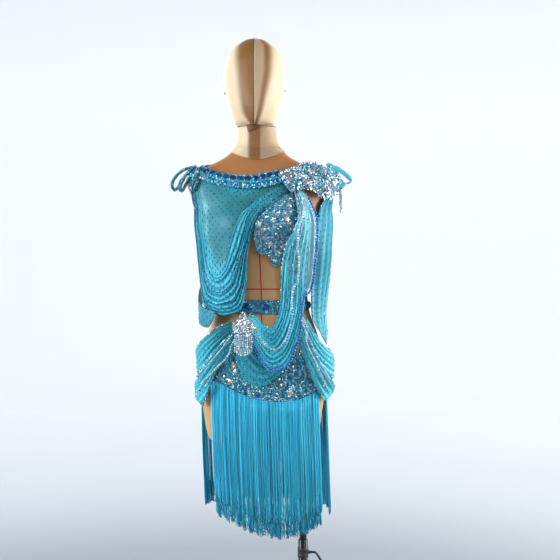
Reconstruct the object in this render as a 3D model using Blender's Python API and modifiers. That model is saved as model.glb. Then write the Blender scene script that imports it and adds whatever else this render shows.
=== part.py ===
"""Draped salsa dress with a long fringe skirt, on an armless dress form and round stand.

Metres, +Z up, the front faces -Y and the wearer's left hand side would be at +X.
The origin is the centre of the base plate's underside.  Every cloth piece is a grid of
points laid over the form by angle (degrees from the front, plus towards +X) and height,
lifted clear of the form and of the pieces under it, then given its wall.
"""
import math

import bmesh
import bpy
import numpy as np
from mathutils.bvhtree import BVHTree

# ---------------------------------------------------------------- driving dimensions
WALL = 0.0013            # cloth wall
SEAM = 0.0003            # parting between neighbouring pieces
CLEAR = 0.0012           # first clearance between one layer and the next
SEAT = 0.00035           # what is left of it once a piece is seated on what carries it
BASE_RADIUS = 0.195
BASE_THICK = 0.008
POLE_X = 0.104           # the pole stands off the centre of the base
POLE_RADIUS = 0.0125
POLE_TOP = 0.418
INNER_RADIUS = 0.0095
INNER_LOW = 0.150
FORM_LOW = 0.672
FORM_TOP = 1.430
FRINGE_DROP = 0.345
STRAND_PITCH = 0.0088

# form sections: height, centre x, half width, front depth, back depth
SECTIONS = np.array([
    [0.672, 0.000, 0.128, 0.078, 0.092],
    [0.682, 0.000, 0.139, 0.086, 0.102],
    [0.740, 0.000, 0.152, 0.094, 0.113],
    [0.800, 0.000, 0.159, 0.099, 0.121],
    [0.857, 0.001, 0.158, 0.101, 0.124],
    [0.905, 0.000, 0.152, 0.100, 0.116],
    [0.945, -0.001, 0.144, 0.098, 0.105],
    [1.018, -0.002, 0.121, 0.091, 0.086],
    [1.068, -0.003, 0.117, 0.088, 0.082],
    [1.110, -0.005, 0.120, 0.091, 0.084],
    [1.170, -0.007, 0.131, 0.098, 0.091],
    [1.235, -0.009, 0.148, 0.103, 0.099],
    [1.275, -0.010, 0.157, 0.094, 0.101],
    [1.304, -0.011, 0.171, 0.084, 0.097],
    [1.333, -0.012, 0.184, 0.072, 0.086],
    [1.351, -0.012, 0.187, 0.064, 0.076],
    [1.364, -0.012, 0.178, 0.058, 0.068],
    [1.375, -0.012, 0.158, 0.054, 0.061],
    [1.390, -0.013, 0.128, 0.051, 0.056],
    [1.408, -0.014, 0.097, 0.050, 0.053],
    [1.430, -0.014, 0.066, 0.050, 0.053],
])
SQUARENESS = 2.35        # section shape: 2 is an ellipse, more is boxier
BUST_X, BUST_Z, BUST_WIDE, BUST_TALL, BUST_OUT = 0.064, 1.232, 0.047, 0.052, 0.030


# ---------------------------------------------------------------- scene and materials
for old in list(bpy.data.objects):
    bpy.data.objects.remove(old, do_unlink=True)
PARTS = bpy.data.collections.new("salsa_dress_on_form")
bpy.context.scene.collection.children.link(PARTS)


def srgb(text):
    c = [int(text[i:i + 2], 16) / 255 for i in (1, 3, 5)]
    return [v / 12.92 if v <= 0.04045 else ((v + 0.055) / 1.055) ** 2.4 for v in c] + [1.0]


def material(name, colour, rough, metal=0.0):
    m = bpy.data.materials.new(name)
    m.use_nodes = True
    p = m.node_tree.nodes["Principled BSDF"]
    p.inputs["Base Color"].default_value = srgb(colour)
    p.inputs["Roughness"].default_value = rough
    p.inputs["Metallic"].default_value = metal
    return m


SEATED = []              # outline of every solid that is in place, as points and triangles


def shape_of(ob):
    graph = bpy.context.evaluated_depsgraph_get()
    real = ob.evaluated_get(graph)
    mesh = real.to_mesh()
    mesh.calc_loop_triangles()
    pts = np.empty(len(mesh.vertices) * 3)
    mesh.vertices.foreach_get("co", pts)
    tris = np.empty(len(mesh.loop_triangles) * 3, int)
    mesh.loop_triangles.foreach_get("vertices", tris)
    place = np.array(real.matrix_world)
    real.to_mesh_clear()
    return pts.reshape(-1, 3) @ place[:3, :3].T + place[:3, 3], tris.reshape(-1, 3)


def in_place(ob):
    SEATED.append(shape_of(ob))
    return ob


def tree_of(shapes):
    pts = np.concatenate([p for p, _ in shapes])
    shift = np.cumsum([0] + [len(p) for p, _ in shapes[:-1]])
    tris = np.concatenate([t + k for (_, t), k in zip(shapes, shift)])
    return BVHTree.FromPolygons(pts.tolist(), tris.tolist())


def spread_points(pts, tris):
    """Points all over a mesh, close enough together to find its nearest place."""
    a, b, c = (pts[tris[:, k]] for k in range(3))
    mix = [(1 / 3, 1 / 3), (0.5, 0.5), (0.5, 0), (0, 0.5), (0.25, 0.25), (0.25, 0.5), (0.5, 0.25),
           (0.25, 0.75), (0.75, 0.25), (0.25, 0), (0.75, 0), (0, 0.25), (0, 0.75)]
    return np.concatenate([pts] + [a + (b - a) * u + (c - a) * v for u, v in mix])


def gap_to(shape, tree):
    pts, tris = shape
    own = tree_of([shape])
    if own.overlap(tree):
        return -1.0
    near = min(tree.find_nearest(p)[3] for p in spread_points(pts, tris).tolist())
    low, high = pts.min(0) - near, pts.max(0) + near
    for other_pts, other_tris in SEATED:
        if np.all(other_pts.min(0) < high) and np.all(other_pts.max(0) > low):
            q = spread_points(other_pts, other_tris)
            q = q[np.all((q > low) & (q < high), 1)]
            near = min([near] + [own.find_nearest(p)[3] for p in q.tolist()])
    return near


def settle(ob, towards, limit=0.03):
    """Slide a stiff piece straight towards its seat until it nearly touches something."""
    towards = np.asarray(towards, float) / np.linalg.norm(towards)
    tree = tree_of(SEATED)
    start, tris = shape_of(ob)
    moved = 0.0
    for _ in range(40):
        gap = gap_to((start + towards * moved, tris), tree)
        if gap < SEAT * 1.3 or moved > limit:
            break
        moved += gap - SEAT
    if ob.type == 'CURVE':
        for p in ob.data.splines[0].points:
            p.co = [p.co[k] + towards[k] * moved for k in range(3)] + [1.0]
    else:
        for v in ob.data.vertices:
            v.co = [v.co[k] + towards[k] * moved for k in range(3)]
        ob.data.update()
    bpy.context.view_layer.update()
    return in_place(ob)


def finish(name, mesh, colour, rough=0.7, metal=0.0):
    ob = bpy.data.objects.new(name, mesh)
    PARTS.objects.link(ob)
    mesh.materials.append(material(name + "_mat", colour, rough, metal))
    return ob


# ---------------------------------------------------------------- form surface
def smooth_table(x, xs, ys):
    """Monotone cubic through a table, so no bulge appears between its rows."""
    x = np.clip(np.asarray(x, float), xs[0], xs[-1])
    h = np.diff(xs)
    d = np.diff(ys) / h
    m = np.zeros_like(ys)
    w1, w2 = 2 * h[1:] + h[:-1], h[1:] + 2 * h[:-1]
    good = d[:-1] * d[1:] > 0
    safe0, safe1 = np.where(good, d[:-1], 1.0), np.where(good, d[1:], 1.0)
    m[1:-1] = np.where(good, (w1 + w2) / (w1 / safe0 + w2 / safe1), 0.0)
    m[0], m[-1] = d[0], d[-1]
    i = np.clip(np.searchsorted(xs, x) - 1, 0, len(xs) - 2)
    t = (x - xs[i]) / h[i]
    return ((1 + 2 * t) * (1 - t) ** 2 * ys[i] + t * (1 - t) ** 2 * h[i] * m[i]
            + t * t * (3 - 2 * t) * ys[i + 1] + t * t * (t - 1) * h[i] * m[i + 1])


def form_point(u, z):
    """Point of the form at angle u (radians from the front) and height z."""
    u, z = np.broadcast_arrays(np.asarray(u, float), np.asarray(z, float))
    cx, half, front, back = (smooth_table(z, SECTIONS[:, 0], SECTIONS[:, k]) for k in (1, 2, 3, 4))
    s, q = np.sin(u), np.cos(u)
    deep = np.where(q > 0, front, back)
    r = ((np.abs(s) / half) ** SQUARENESS + (np.abs(q) / deep) ** SQUARENESS) ** (-1 / SQUARENESS)
    x, y = cx + r * s, -r * q
    bust = sum(np.exp(-((x - cx - side * BUST_X) / BUST_WIDE) ** 2 - ((z - BUST_Z) / BUST_TALL) ** 2)
               for side in (-1, 1))
    return np.stack([x, y - BUST_OUT * bust * np.clip(q * 3, 0, 1), z], -1)


def form_normal(u, z):
    e = 2e-3
    n = np.cross(form_point(u + e, z) - form_point(u - e, z), form_point(u, z + e) - form_point(u, z - e))
    return n / np.linalg.norm(n, axis=-1, keepdims=True)


def off_form(u, z, lift):
    return form_point(u, z) + form_normal(u, z) * np.asarray(lift)[..., None]


# ---------------------------------------------------------------- how high the layers stand
CELL_U, CELL_Z, LOW_Z = math.radians(3.0), 0.006, 0.430
HEIGHTS = np.zeros((172, 120))
WAITING = []


def cell(u, z):
    iu = np.round(np.asarray(u) / CELL_U).astype(int) % 120
    iz = np.clip(np.round((np.asarray(z) - LOW_Z) / CELL_Z).astype(int), 0, 171)
    return iz, iu


def layer_under(u, z, reach_u=2, reach_z=3):
    iz, iu = cell(u, z)
    top = np.zeros(np.shape(u))
    for a in range(-reach_z, reach_z + 1):
        for b in range(-reach_u, reach_u + 1):
            top = np.maximum(top, HEIGHTS[np.clip(iz + a, 0, 171), (iu + b) % 120])
    return top


def note_layer(u, z, lift):
    """Remember a piece's outer lift; it counts once lay_down() is called."""
    WAITING.append((u, z, lift))


def finer(a, k):
    """A grid with k times as many steps each way, straight between its points."""
    for axis in (0, 1):
        n = a.shape[axis]
        t = np.linspace(0, n - 1, (n - 1) * k + 1)
        i = np.minimum(t.astype(int), n - 2)
        f = (t - i).reshape((-1, 1) if axis == 0 else (1, -1))
        a = np.take(a, i, axis) * (1 - f) + np.take(a, i + 1, axis) * f
    return a


def lay_down():
    while WAITING:
        u, z, lift = (finer(a, 6) for a in WAITING.pop())
        iz, iu = cell(u, z)
        np.maximum.at(HEIGHTS, (iz, iu), lift)


def plumb(u, z, lean, top=1.36):
    """Lift of cloth that falls from the widest point above, leaning in by tan(lean)."""
    base = form_point(u, z)
    r0 = np.hypot(base[..., 0], base[..., 1])
    best = r0.copy()
    for step in np.arange(0.006, 0.5, 0.012):
        zz = np.minimum(z + step, np.maximum(top, z))
        p = form_point(u, zz)
        best = np.maximum(best, np.hypot(p[..., 0], p[..., 1]) - (zz - z) * math.tan(lean))
    return best - r0


# ---------------------------------------------------------------- grids and meshes
def along(row, n):
    """Resample a row of (degrees, height, lift in mm) smoothly by length to n points."""
    p = np.array([tuple(r) + (0.0,) * (3 - len(r)) for r in row], float)
    step = np.hypot(np.diff(p[:, 0]) * 0.0022, np.diff(p[:, 1]))
    s = np.concatenate([[0], np.cumsum(np.maximum(step, 1e-5))])
    t = np.linspace(0, s[-1], n)
    return np.stack([smooth_table(t, s, p[:, k]) for k in range(3)], -1)


def fold_grid(rows, across, columns):
    """Grid of angle, height and least lift through a table of fold lines.

    across is the number of lines in all, or how many steps lie between each two rows.
    """
    lines = np.stack([along(r, columns) for r in rows])
    if isinstance(across, int):
        t = np.linspace(0, len(rows) - 1, across)
    else:
        t = np.concatenate([[0]] + [k + np.arange(1, n + 1) / n for k, n in enumerate(across)])
    i = np.minimum(t.astype(int), len(rows) - 2)
    f = (t - i)[:, None, None]
    g = lines[i] * (1 - f) + lines[i + 1] * f
    return np.radians(g[..., 0]), g[..., 1], g[..., 2] * 0.001


def grid_mesh(name, points, ring=False):
    rows, cols = points.shape[:2]
    idx = np.arange(rows * cols).reshape(rows, cols)
    nxt = np.roll(idx, -1, axis=1) if ring else idx[:, 1:]
    cur = idx if ring else idx[:, :-1]
    quads = np.stack([cur[:-1], nxt[:-1], nxt[1:], cur[1:]], -1).reshape(-1, 4)
    mesh = bpy.data.meshes.new(name)
    mesh.from_pydata(points.reshape(-1, 3).tolist(), [], quads.tolist())
    mesh.update()
    return mesh


def taut(lift, ring, rounds=14):
    """Cloth bridges hollows: a point is never under the middle of its neighbours."""
    for _ in range(rounds):
        if ring:
            side = (np.roll(lift, 1, 1) + np.roll(lift, -1, 1)) / 2
        else:
            side = lift.copy()
            side[:, 1:-1] = (lift[:, :-2] + lift[:, 2:]) / 2
        lift = np.maximum(lift, side)
        updown = lift.copy()
        updown[1:-1] = (lift[:-2] + lift[2:]) / 2
        lift = np.maximum(lift, updown)
    return lift


def cloth(name, rows, across, columns, colour, pleats=0.0, depth=0.0, pinch=0.25, lean=None,
          ring=False, reach=(2, 3), wall=WALL, bumps=None, calm=0.0, rough=0.75):
    """Lay one piece of cloth over everything under it and give it its wall.

    rows is the table of fold lines; pleats ridges of the given depth run along them and
    shrink to pinch of it at both ends; lean lets the piece fall clear of the form, and
    calm is the share of the rows, from the first, over which the ridges grow up.
    """
    u, z, least = fold_grid(rows, across, columns + (1 if ring else 0))
    if ring:
        u, z, least = u[:, :-1], z[:, :-1], least[:, :-1]
    lift = np.maximum(layer_under(u, z, *reach) + CLEAR, 0.0023)
    lift = np.maximum(lift, least)
    if lean is not None:
        lift = np.maximum(lift, plumb(u, z, math.radians(lean)))
    lift = taut(lift, ring)
    v = np.linspace(0, 1, u.shape[0])[:, None]
    s = np.linspace(0, 1, u.shape[1])[None, :]
    if pleats:
        swell = pinch + (1 - pinch) * np.sin(math.pi * s) ** 0.8
        swell = swell * (np.clip(v / calm, 0.2, 1) if calm else 1)
        lift = lift + depth * swell * (0.5 - 0.5 * np.cos(2 * math.pi * pleats * v))
    if bumps is not None:
        lift = lift + bumps(u, z, s, v)
    rows_out = off_form(u, z, lift)
    face = np.cross(rows_out[1:, :-1] - rows_out[:-1, :-1], rows_out[:-1, 1:] - rows_out[:-1, :-1])
    if np.sum(face * form_normal(u, z)[:-1, :-1]) > 0:
        u, z, lift = u[::-1], z[::-1], lift[::-1]
    mesh = grid_mesh(name, off_form(u, z, lift), ring)
    ob = finish(name, mesh, colour, rough)
    solid = ob.modifiers.new("wall", 'SOLIDIFY')
    solid.thickness, solid.offset = wall, 1.0
    solid.use_even_offset = False
    tree = tree_of(SEATED)

    def lower(by):
        mesh.vertices.foreach_set("co", off_form(u, z, lift - by).ravel())
        mesh.update()
        ob.update_tag()
        bpy.context.view_layer.update()
        return gap_to(shape_of(ob), tree)

    down, gap = 0.0, lower(0.0)
    for _ in range(5):
        if gap < SEAT * 1.3:
            break
        down += gap - SEAT
        gap = lower(down)
    while gap < 0.0002:
        down -= 0.00015
        gap = lower(down)
    lift = lift - down
    in_place(ob)
    if ring:
        close = lambda a: np.concatenate([a, a[:, :1]], 1)
        turn = close(u)
        turn[:, -1] += 2 * math.pi * np.sign(u[0, 1] - u[0, 0])
        note_layer(turn, close(z), close(lift) + wall * 1.15)
    else:
        note_layer(u, z, lift + wall * 1.15)
    return u, z, lift


def tube(name, points, radius, colour, rough=0.6, metal=0.0, resolution=1):
    """Round cord or rod through the points, with closed ends."""
    curve = bpy.data.curves.new(name, 'CURVE')
    curve.dimensions, curve.bevel_depth, curve.bevel_resolution = '3D', radius, resolution
    curve.use_fill_caps = True
    line = curve.splines.new('POLY')
    line.points.add(len(points) - 1)
    flat = np.concatenate([np.asarray(points, float), np.ones((len(points), 1))], 1)
    line.points.foreach_set("co", flat.ravel())
    ob = bpy.data.objects.new(name, curve)
    PARTS.objects.link(ob)
    curve.materials.append(material(name + "_mat", colour, rough, metal))
    return ob


def string(name, row, count, radius, colour, lean=None):
    """Beaded string sewn along a line over the layers under it."""
    line = along(row, count)
    u, z = np.radians(line[:, 0])[None], line[:, 1][None]
    lift = np.maximum(layer_under(u, z, 2, 3) + radius + CLEAR, radius + 0.0016)
    lift = np.maximum(lift, line[:, 2][None] * 0.001 + radius)
    if lean is not None:
        lift = np.maximum(lift, plumb(u, z, math.radians(lean)))
    lift = taut(np.repeat(lift, 3, 0), False, 6)[1:2]
    ob = tube(name, off_form(u, z, lift)[0], radius, colour)
    tree = tree_of(SEATED)
    for _ in range(6):
        gap = gap_to(shape_of(ob), tree)
        if SEAT * 0.7 < gap < SEAT * 1.3:
            break
        lift = lift - (gap - SEAT if gap > 0 else -0.0004)
        flat = np.concatenate([off_form(u, z, lift)[0], np.ones((count, 1))], 1)
        ob.data.splines[0].points.foreach_set("co", flat.ravel())
        ob.update_tag()
        bpy.context.view_layer.update()
    in_place(ob)
    wide = np.radians(1.5)
    note_layer(np.repeat(u, 2, 0) + np.array([[-wide], [wide]]), np.repeat(z, 2, 0),
               np.repeat(lift + radius, 2, 0))


def smooth_path(points, n):
    p = np.asarray(points, float)
    s = np.concatenate([[0], np.cumsum(np.linalg.norm(np.diff(p, axis=0), axis=1))])
    # Catmull-Rom through the points, then evenly spaced
    q = np.concatenate([[2 * p[0] - p[1]], p, [2 * p[-1] - p[-2]]])
    t = np.linspace(0, len(p) - 1, n * 6)
    i = np.minimum(t.astype(int), len(p) - 2)
    f = (t - i)[:, None]
    a, b, c, d = q[i], q[i + 1], q[i + 2], q[i + 3]
    r = 0.5 * (2 * b + (c - a) * f + (2 * a - 5 * b + 4 * c - d) * f ** 2
               + (3 * b - a - 3 * c + d) * f ** 3)
    s = np.concatenate([[0], np.cumsum(np.linalg.norm(np.diff(r, axis=0), axis=1))])
    e = np.linspace(0, s[-1], n)
    return np.stack([np.interp(e, s, r[:, k]) for k in range(3)], -1)


def turned(name, profile, steps, colour, rough, metal, where=(0.0, 0.0)):
    """Solid of revolution from (radius, height) rows that start and end on the axis."""
    mesh = bpy.data.meshes.new(name)
    mesh.from_pydata([(r, 0.0, z) for r, z in profile], [(i, i + 1) for i in range(len(profile) - 1)], [])
    ob = finish(name, mesh, colour, rough, metal)
    ob.location = (where[0], where[1], 0.0)
    screw = ob.modifiers.new("turn", 'SCREW')
    screw.steps = screw.render_steps = steps
    screw.use_merge_vertices, screw.merge_threshold = True, 0.0001
    screw.use_normal_calculate = True
    return ob


def loft(name, rings, colour, rough, metal=0.0, cap=True):
    """Closed solid through rings of points, flat at both ends."""
    rings = np.asarray(rings)
    mesh = bpy.data.meshes.new(name)
    bm = bmesh.new()
    vs = [[bm.verts.new(p) for p in ring] for ring in rings.tolist()]
    n = len(vs[0])
    for a, b in zip(vs[:-1], vs[1:]):
        for i in range(n):
            bm.faces.new((a[i], a[(i + 1) % n], b[(i + 1) % n], b[i]))
    if cap:
        bm.faces.new(vs[0][::-1])
        bm.faces.new(vs[-1])
    bmesh.ops.recalc_face_normals(bm, faces=bm.faces)
    bm.to_mesh(mesh)
    bm.free()
    return finish(name, mesh, colour, rough, metal)


# ---------------------------------------------------------------- stand
STEEL = "#2E2B2C"
in_place(turned("base_plate", [(0, 0), (BASE_RADIUS - 0.002, 0), (BASE_RADIUS, 0.002), (BASE_RADIUS, 0.005),
                      (BASE_RADIUS - 0.006, BASE_THICK), (0, BASE_THICK)], 40, STEEL, 0.45, 0.6))


def hollow_tube(name, low, high, outer, inner, x, steps, colour, rough, metal):
    rings = [(inner, low), (inner, high), (outer, high), (outer, low)]
    mesh = bpy.data.meshes.new(name)
    mesh.from_pydata([(r, 0.0, z) for r, z in rings], [(0, 1), (1, 2), (2, 3), (3, 0)], [])
    ob = finish(name, mesh, colour, rough, metal)
    ob.location = (x, 0, 0)
    screw = ob.modifiers.new("turn", 'SCREW')
    screw.steps = screw.render_steps = steps
    screw.use_merge_vertices, screw.merge_threshold = True, 0.0001
    screw.use_normal_calculate = False
    return ob


in_place(hollow_tube("outer_tube", BASE_THICK + SEAM, POLE_TOP, POLE_RADIUS, INNER_RADIUS + SEAM,
                     POLE_X, 24, STEEL, 0.3, 0.8))
in_place(hollow_tube("inner_tube", INNER_LOW, FORM_LOW - SEAM, INNER_RADIUS, INNER_RADIUS - 0.0015,
                     POLE_X, 24, "#3A2F2E", 0.3, 0.8))
turned("foot_socket", [(POLE_RADIUS + SEAM, 0), (0.024, 0), (0.024, 0.010), (0.017, 0.026),
                       (POLE_RADIUS + SEAM, 0.026), (POLE_RADIUS + SEAM, 0)], 24, STEEL, 0.4, 0.7,
       (POLE_X, 0)).location[2] = BASE_THICK + SEAM

COLLAR_Z = 0.384
hollow_tube("clamp_collar", COLLAR_Z - 0.013, COLLAR_Z + 0.013, 0.0175, POLE_RADIUS + SEAM, POLE_X, 24,
            STEEL, 0.4, 0.7)
PIN_X = POLE_X + 0.0175 + SEAM
tube("clamp_lever", smooth_path([(PIN_X, 0, COLLAR_Z), (0.131, 0, COLLAR_Z), (0.1375, 0, COLLAR_Z - 0.002),
                                 (0.143, 0, COLLAR_Z - 0.009), (0.152, 0, COLLAR_Z - 0.023),
                                 (0.163, 0, COLLAR_Z - 0.041)], 10), 0.0035, STEEL, 0.35, 0.8, 2)

# ---------------------------------------------------------------- dress form
TAN = "#C08A55"
heights = np.array([0.672, 0.682, 0.73, 0.79, 0.85, 0.91, 0.96, 1.01, 1.065, 1.12, 1.165, 1.20, 1.23,
                    1.26, 1.295, 1.33, 1.351, 1.364, 1.375, 1.39, 1.408, 1.43])
angles = np.radians(np.arange(0, 360, 360 / 32))
in_place(loft("form_torso", [form_point(angles, z) for z in heights], TAN, 0.6))


def ring_at(cx, cy, rx, ry, z, n):
    t = np.linspace(0, 2 * math.pi, n, endpoint=False)
    return np.stack([cx + rx * np.sin(t), cy - ry * np.cos(t), np.full(n, z)], -1)


NECK = [  # height, centre x, half width, half depth
    (1.4303, -0.0145, 0.0615, 0.0500), (1.438, -0.0150, 0.0570, 0.0500), (1.450, -0.0155, 0.0540, 0.0500),
    (1.466, -0.0155, 0.0515, 0.0490), (1.4880, -0.0160, 0.0490, 0.0480)]
in_place(loft("form_neck", [ring_at(cx, 0.0, a, b, z, 24) for z, cx, a, b in NECK], "#C9A06C", 0.6))
HEAD = [  # height, centre y, half width, half depth
    (1.4883, -0.006, 0.0440, 0.0520), (1.494, -0.010, 0.0500, 0.0640), (1.510, -0.014, 0.0560, 0.0760),
    (1.530, -0.016, 0.0630, 0.0860), (1.555, -0.014, 0.0710, 0.0930), (1.582, -0.010, 0.0775, 0.0980),
    (1.611, -0.008, 0.0810, 0.0995), (1.640, -0.006, 0.0785, 0.0970), (1.666, -0.004, 0.0700, 0.0870),
    (1.688, -0.002, 0.0560, 0.0700), (1.703, 0.0, 0.0400, 0.0500), (1.712, 0.0, 0.0230, 0.0290),
    (1.716, 0.0, 0.0080, 0.0100)]
loft("form_head", [ring_at(-0.021, cy, a, b, z, 24) for z, cy, a, b in HEAD], "#D9B27C", 0.55)

# ---------------------------------------------------------------- bodice: lowest layer
TURQUOISE, MESH, STONED = "#2FB0C4", "#6FA9A8", "#5E93A3"
cloth("waistband", [
    [(-180, 1.034), (-90, 1.035), (-40, 1.040), (0, 1.041), (40, 1.040), (90, 1.035), (180, 1.034)],
    [(-180, 1.019), (-90, 1.019), (-40, 1.006), (0, 1.005), (40, 1.006), (90, 1.019), (180, 1.019)]],
    2, 28, STONED, ring=True)
cloth("bodice_back", [
    [(114, 1.343, 5), (140, 1.342, 4), (180, 1.340, 4), (220, 1.342, 4), (246, 1.343, 5)],
    [(108, 1.25, 3), (140, 1.25, 3), (180, 1.25, 3), (220, 1.25, 3), (252, 1.25, 3)],
    [(122, 1.050), (150, 1.050), (180, 1.050), (210, 1.050), (238, 1.050)]],
    7, 12, MESH)
lay_down()

cloth("front_drape", [
    [(-70, 1.346), (-62, 1.340), (-53, 1.334), (-40, 1.328), (-25, 1.324), (0, 1.327), (18, 1.331),
     (36, 1.338), (49, 1.343)],
    [(-71.5, 1.345), (-68, 1.256), (-68, 1.194), (-63, 1.128), (-55, 1.110), (-45, 1.126), (-35, 1.194),
     (-25, 1.246), (6, 1.296), (48.5, 1.337)],
    [(-73, 1.346), (-71, 1.236), (-71, 1.140), (-64, 1.104), (-54, 1.090), (-42, 1.108), (-31, 1.154),
     (-20, 1.236), (9, 1.286), (48, 1.330)],
    [(-75, 1.347), (-73.5, 1.228), (-73.5, 1.120), (-66, 1.066), (-51, 1.048), (-38, 1.070), (-27, 1.130),
     (-17, 1.230), (11, 1.277), (47, 1.322)],
    [(-77, 1.350), (-76, 1.206), (-75.5, 1.096), (-69, 1.042), (-50, 1.022), (-36, 1.030), (-24.5, 1.090),
     (-14, 1.206), (12, 1.268), (46, 1.313)],
    [(-79, 1.355), (-77.5, 1.298), (-78, 1.202), (-77, 1.109), (-72.5, 1.029), (-63, 1.007), (-48, 0.997),
     (-36, 1.002), (-27.5, 1.012), (-23, 1.046), (-18.5, 1.113), (-16, 1.180), (-10, 1.220), (6, 1.255),
     (25, 1.277), (45, 1.302)]],
    (6, 3, 3, 3, 4), 21, MESH, pleats=9.5, depth=0.0038, pinch=0.15, lean=4.5, calm=0.45)
cloth("left_side_swag", [
    [(-82, 1.350), (-88, 1.25), (-92, 1.15), (-112, 1.085), (-140, 1.075), (-172, 1.10)],
    [(-88, 1.352), (-98, 1.25), (-106, 1.17), (-124, 1.125), (-148, 1.118), (-174, 1.135)],
    [(-94, 1.352), (-108, 1.26), (-118, 1.20), (-134, 1.165), (-154, 1.160), (-176, 1.170)]],
    7, 14, STONED, pleats=3, depth=0.003, lean=5)
lay_down()
cloth("left_tail", [
    [(-52, 1.006), (-62, 1.012), (-74, 1.030), (-88, 1.060), (-102, 1.090)],
    [(-53, 0.994), (-61, 0.980), (-73, 0.992), (-88, 1.030), (-104, 1.072)],
    [(-54, 0.984), (-60, 0.963), (-72, 0.968), (-88, 1.008), (-106, 1.056)]],
    5, 9, "#8CC0BE", pleats=2, depth=0.0025, lean=7)
lay_down()

cloth("neckband", [
    [(-180, 1.366), (-150, 1.368), (-120, 1.380), (-100, 1.389), (-76, 1.377), (-60, 1.363), (-34, 1.356),
     (-11, 1.357), (17, 1.363), (42, 1.369), (60, 1.375), (80, 1.388), (100, 1.390), (120, 1.380),
     (150, 1.368), (180, 1.366)],
    [(-180, 1.333), (-150, 1.336), (-120, 1.354), (-100, 1.370), (-76, 1.350), (-60, 1.331), (-34, 1.320),
     (-11, 1.318), (17, 1.323), (42, 1.333), (60, 1.344), (80, 1.369), (100, 1.370), (120, 1.354),
     (150, 1.336), (180, 1.333)]],
    3, 38, "#2F7FB8", ring=True, reach=(1, 1))


# ---------------------------------------------------------------- right side of the bodice
def rosettes(centres, high, size):
    """Raised round bosses of thick applique at (degrees, height)."""
    def lift(u, z, s, v):
        out = np.zeros_like(u)
        for deg, zc in centres:
            d = np.hypot((u - math.radians(deg)) * 0.125, z - zc)
            out = np.maximum(out, high * np.clip(1 - (d / size) ** 2, 0, 1))
        return out
    return lift


cloth("cup_applique", [
    [(-10, 1.217), (-7, 1.227), (-3.5, 1.235), (7, 1.248), (16, 1.260), (25, 1.272), (35, 1.285),
     (44, 1.293)],
    [(-9.5, 1.201), (-5.5, 1.181), (-1, 1.161), (5, 1.156), (9.5, 1.160), (15, 1.147), (18, 1.131),
     (25, 1.125), (31, 1.132), (44, 1.178)]],
    8, 12, STONED, bumps=rosettes([(2, 1.205), (12, 1.195), (24, 1.150), (22, 1.215), (33, 1.235)],
                                   0.003, 0.013))
cloth("right_side_drape", [
    [(80, 1.350), (82, 1.305), (78, 1.265, 6), (70, 1.215, 10), (68, 1.130, 22), (66, 1.060, 24),
     (68, 0.985, 18)],
    [(85, 1.352), (87, 1.290, 6), (84, 1.230, 14), (80, 1.130, 44), (80, 1.040, 50), (82, 0.935, 34)],
    [(91, 1.352), (95, 1.280, 8), (98, 1.200, 24), (98, 1.110, 54), (98, 1.020, 56), (98, 0.922, 36)],
    [(97, 1.350), (104, 1.280, 8), (112, 1.200, 20), (116, 1.110, 38), (116, 1.030, 42), (112, 0.940, 30)]],
    11, 12, "#46BFCB", pleats=5, depth=0.004, pinch=0.2)
lay_down()
cloth("right_middle_drape", [
    [(50, 1.300), (46, 1.245), (50, 1.168), (52, 1.104), (49, 1.046)],
    [(57, 1.302), (57, 1.245), (59, 1.168), (60, 1.100), (54, 1.044)],
    [(62, 1.302), (64, 1.254), (64.5, 1.209), (65, 1.143), (62.5, 1.079), (57, 1.041)]],
    7, 9, "#9AD3D8", pleats=3, depth=0.003, lean=9)
lay_down()

# ---------------------------------------------------------------- hips: yoke, then its swags
FRINGE_LINE = np.array([  # degrees from the front, height of the yoke's lower edge
    (-180, 0.835), (-110, 0.838), (-84, 0.843), (-66, 0.840), (-50, 0.830), (-30, 0.808), (-6, 0.792),
    (22, 0.785), (44, 0.790), (58, 0.803), (68, 0.812), (84, 0.822), (110, 0.832), (180, 0.835)], float)


def yoke_row(start, stop, step, top):
    degs = np.linspace(start, stop, step)
    wrapped = (degs + 180) % 360 - 180
    low = smooth_table(wrapped, FRINGE_LINE[:, 0], FRINGE_LINE[:, 1])
    return [(d, top) for d in degs], [(d, z) for d, z in zip(degs, low)]


cloth("hip_yoke_front", yoke_row(-83, 83, 14, 0.908), 4, 21, STONED)
cloth("hip_yoke_back", yoke_row(83.6, 276.4, 14, 0.908), 3, 22, STONED)
lay_down()


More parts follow.
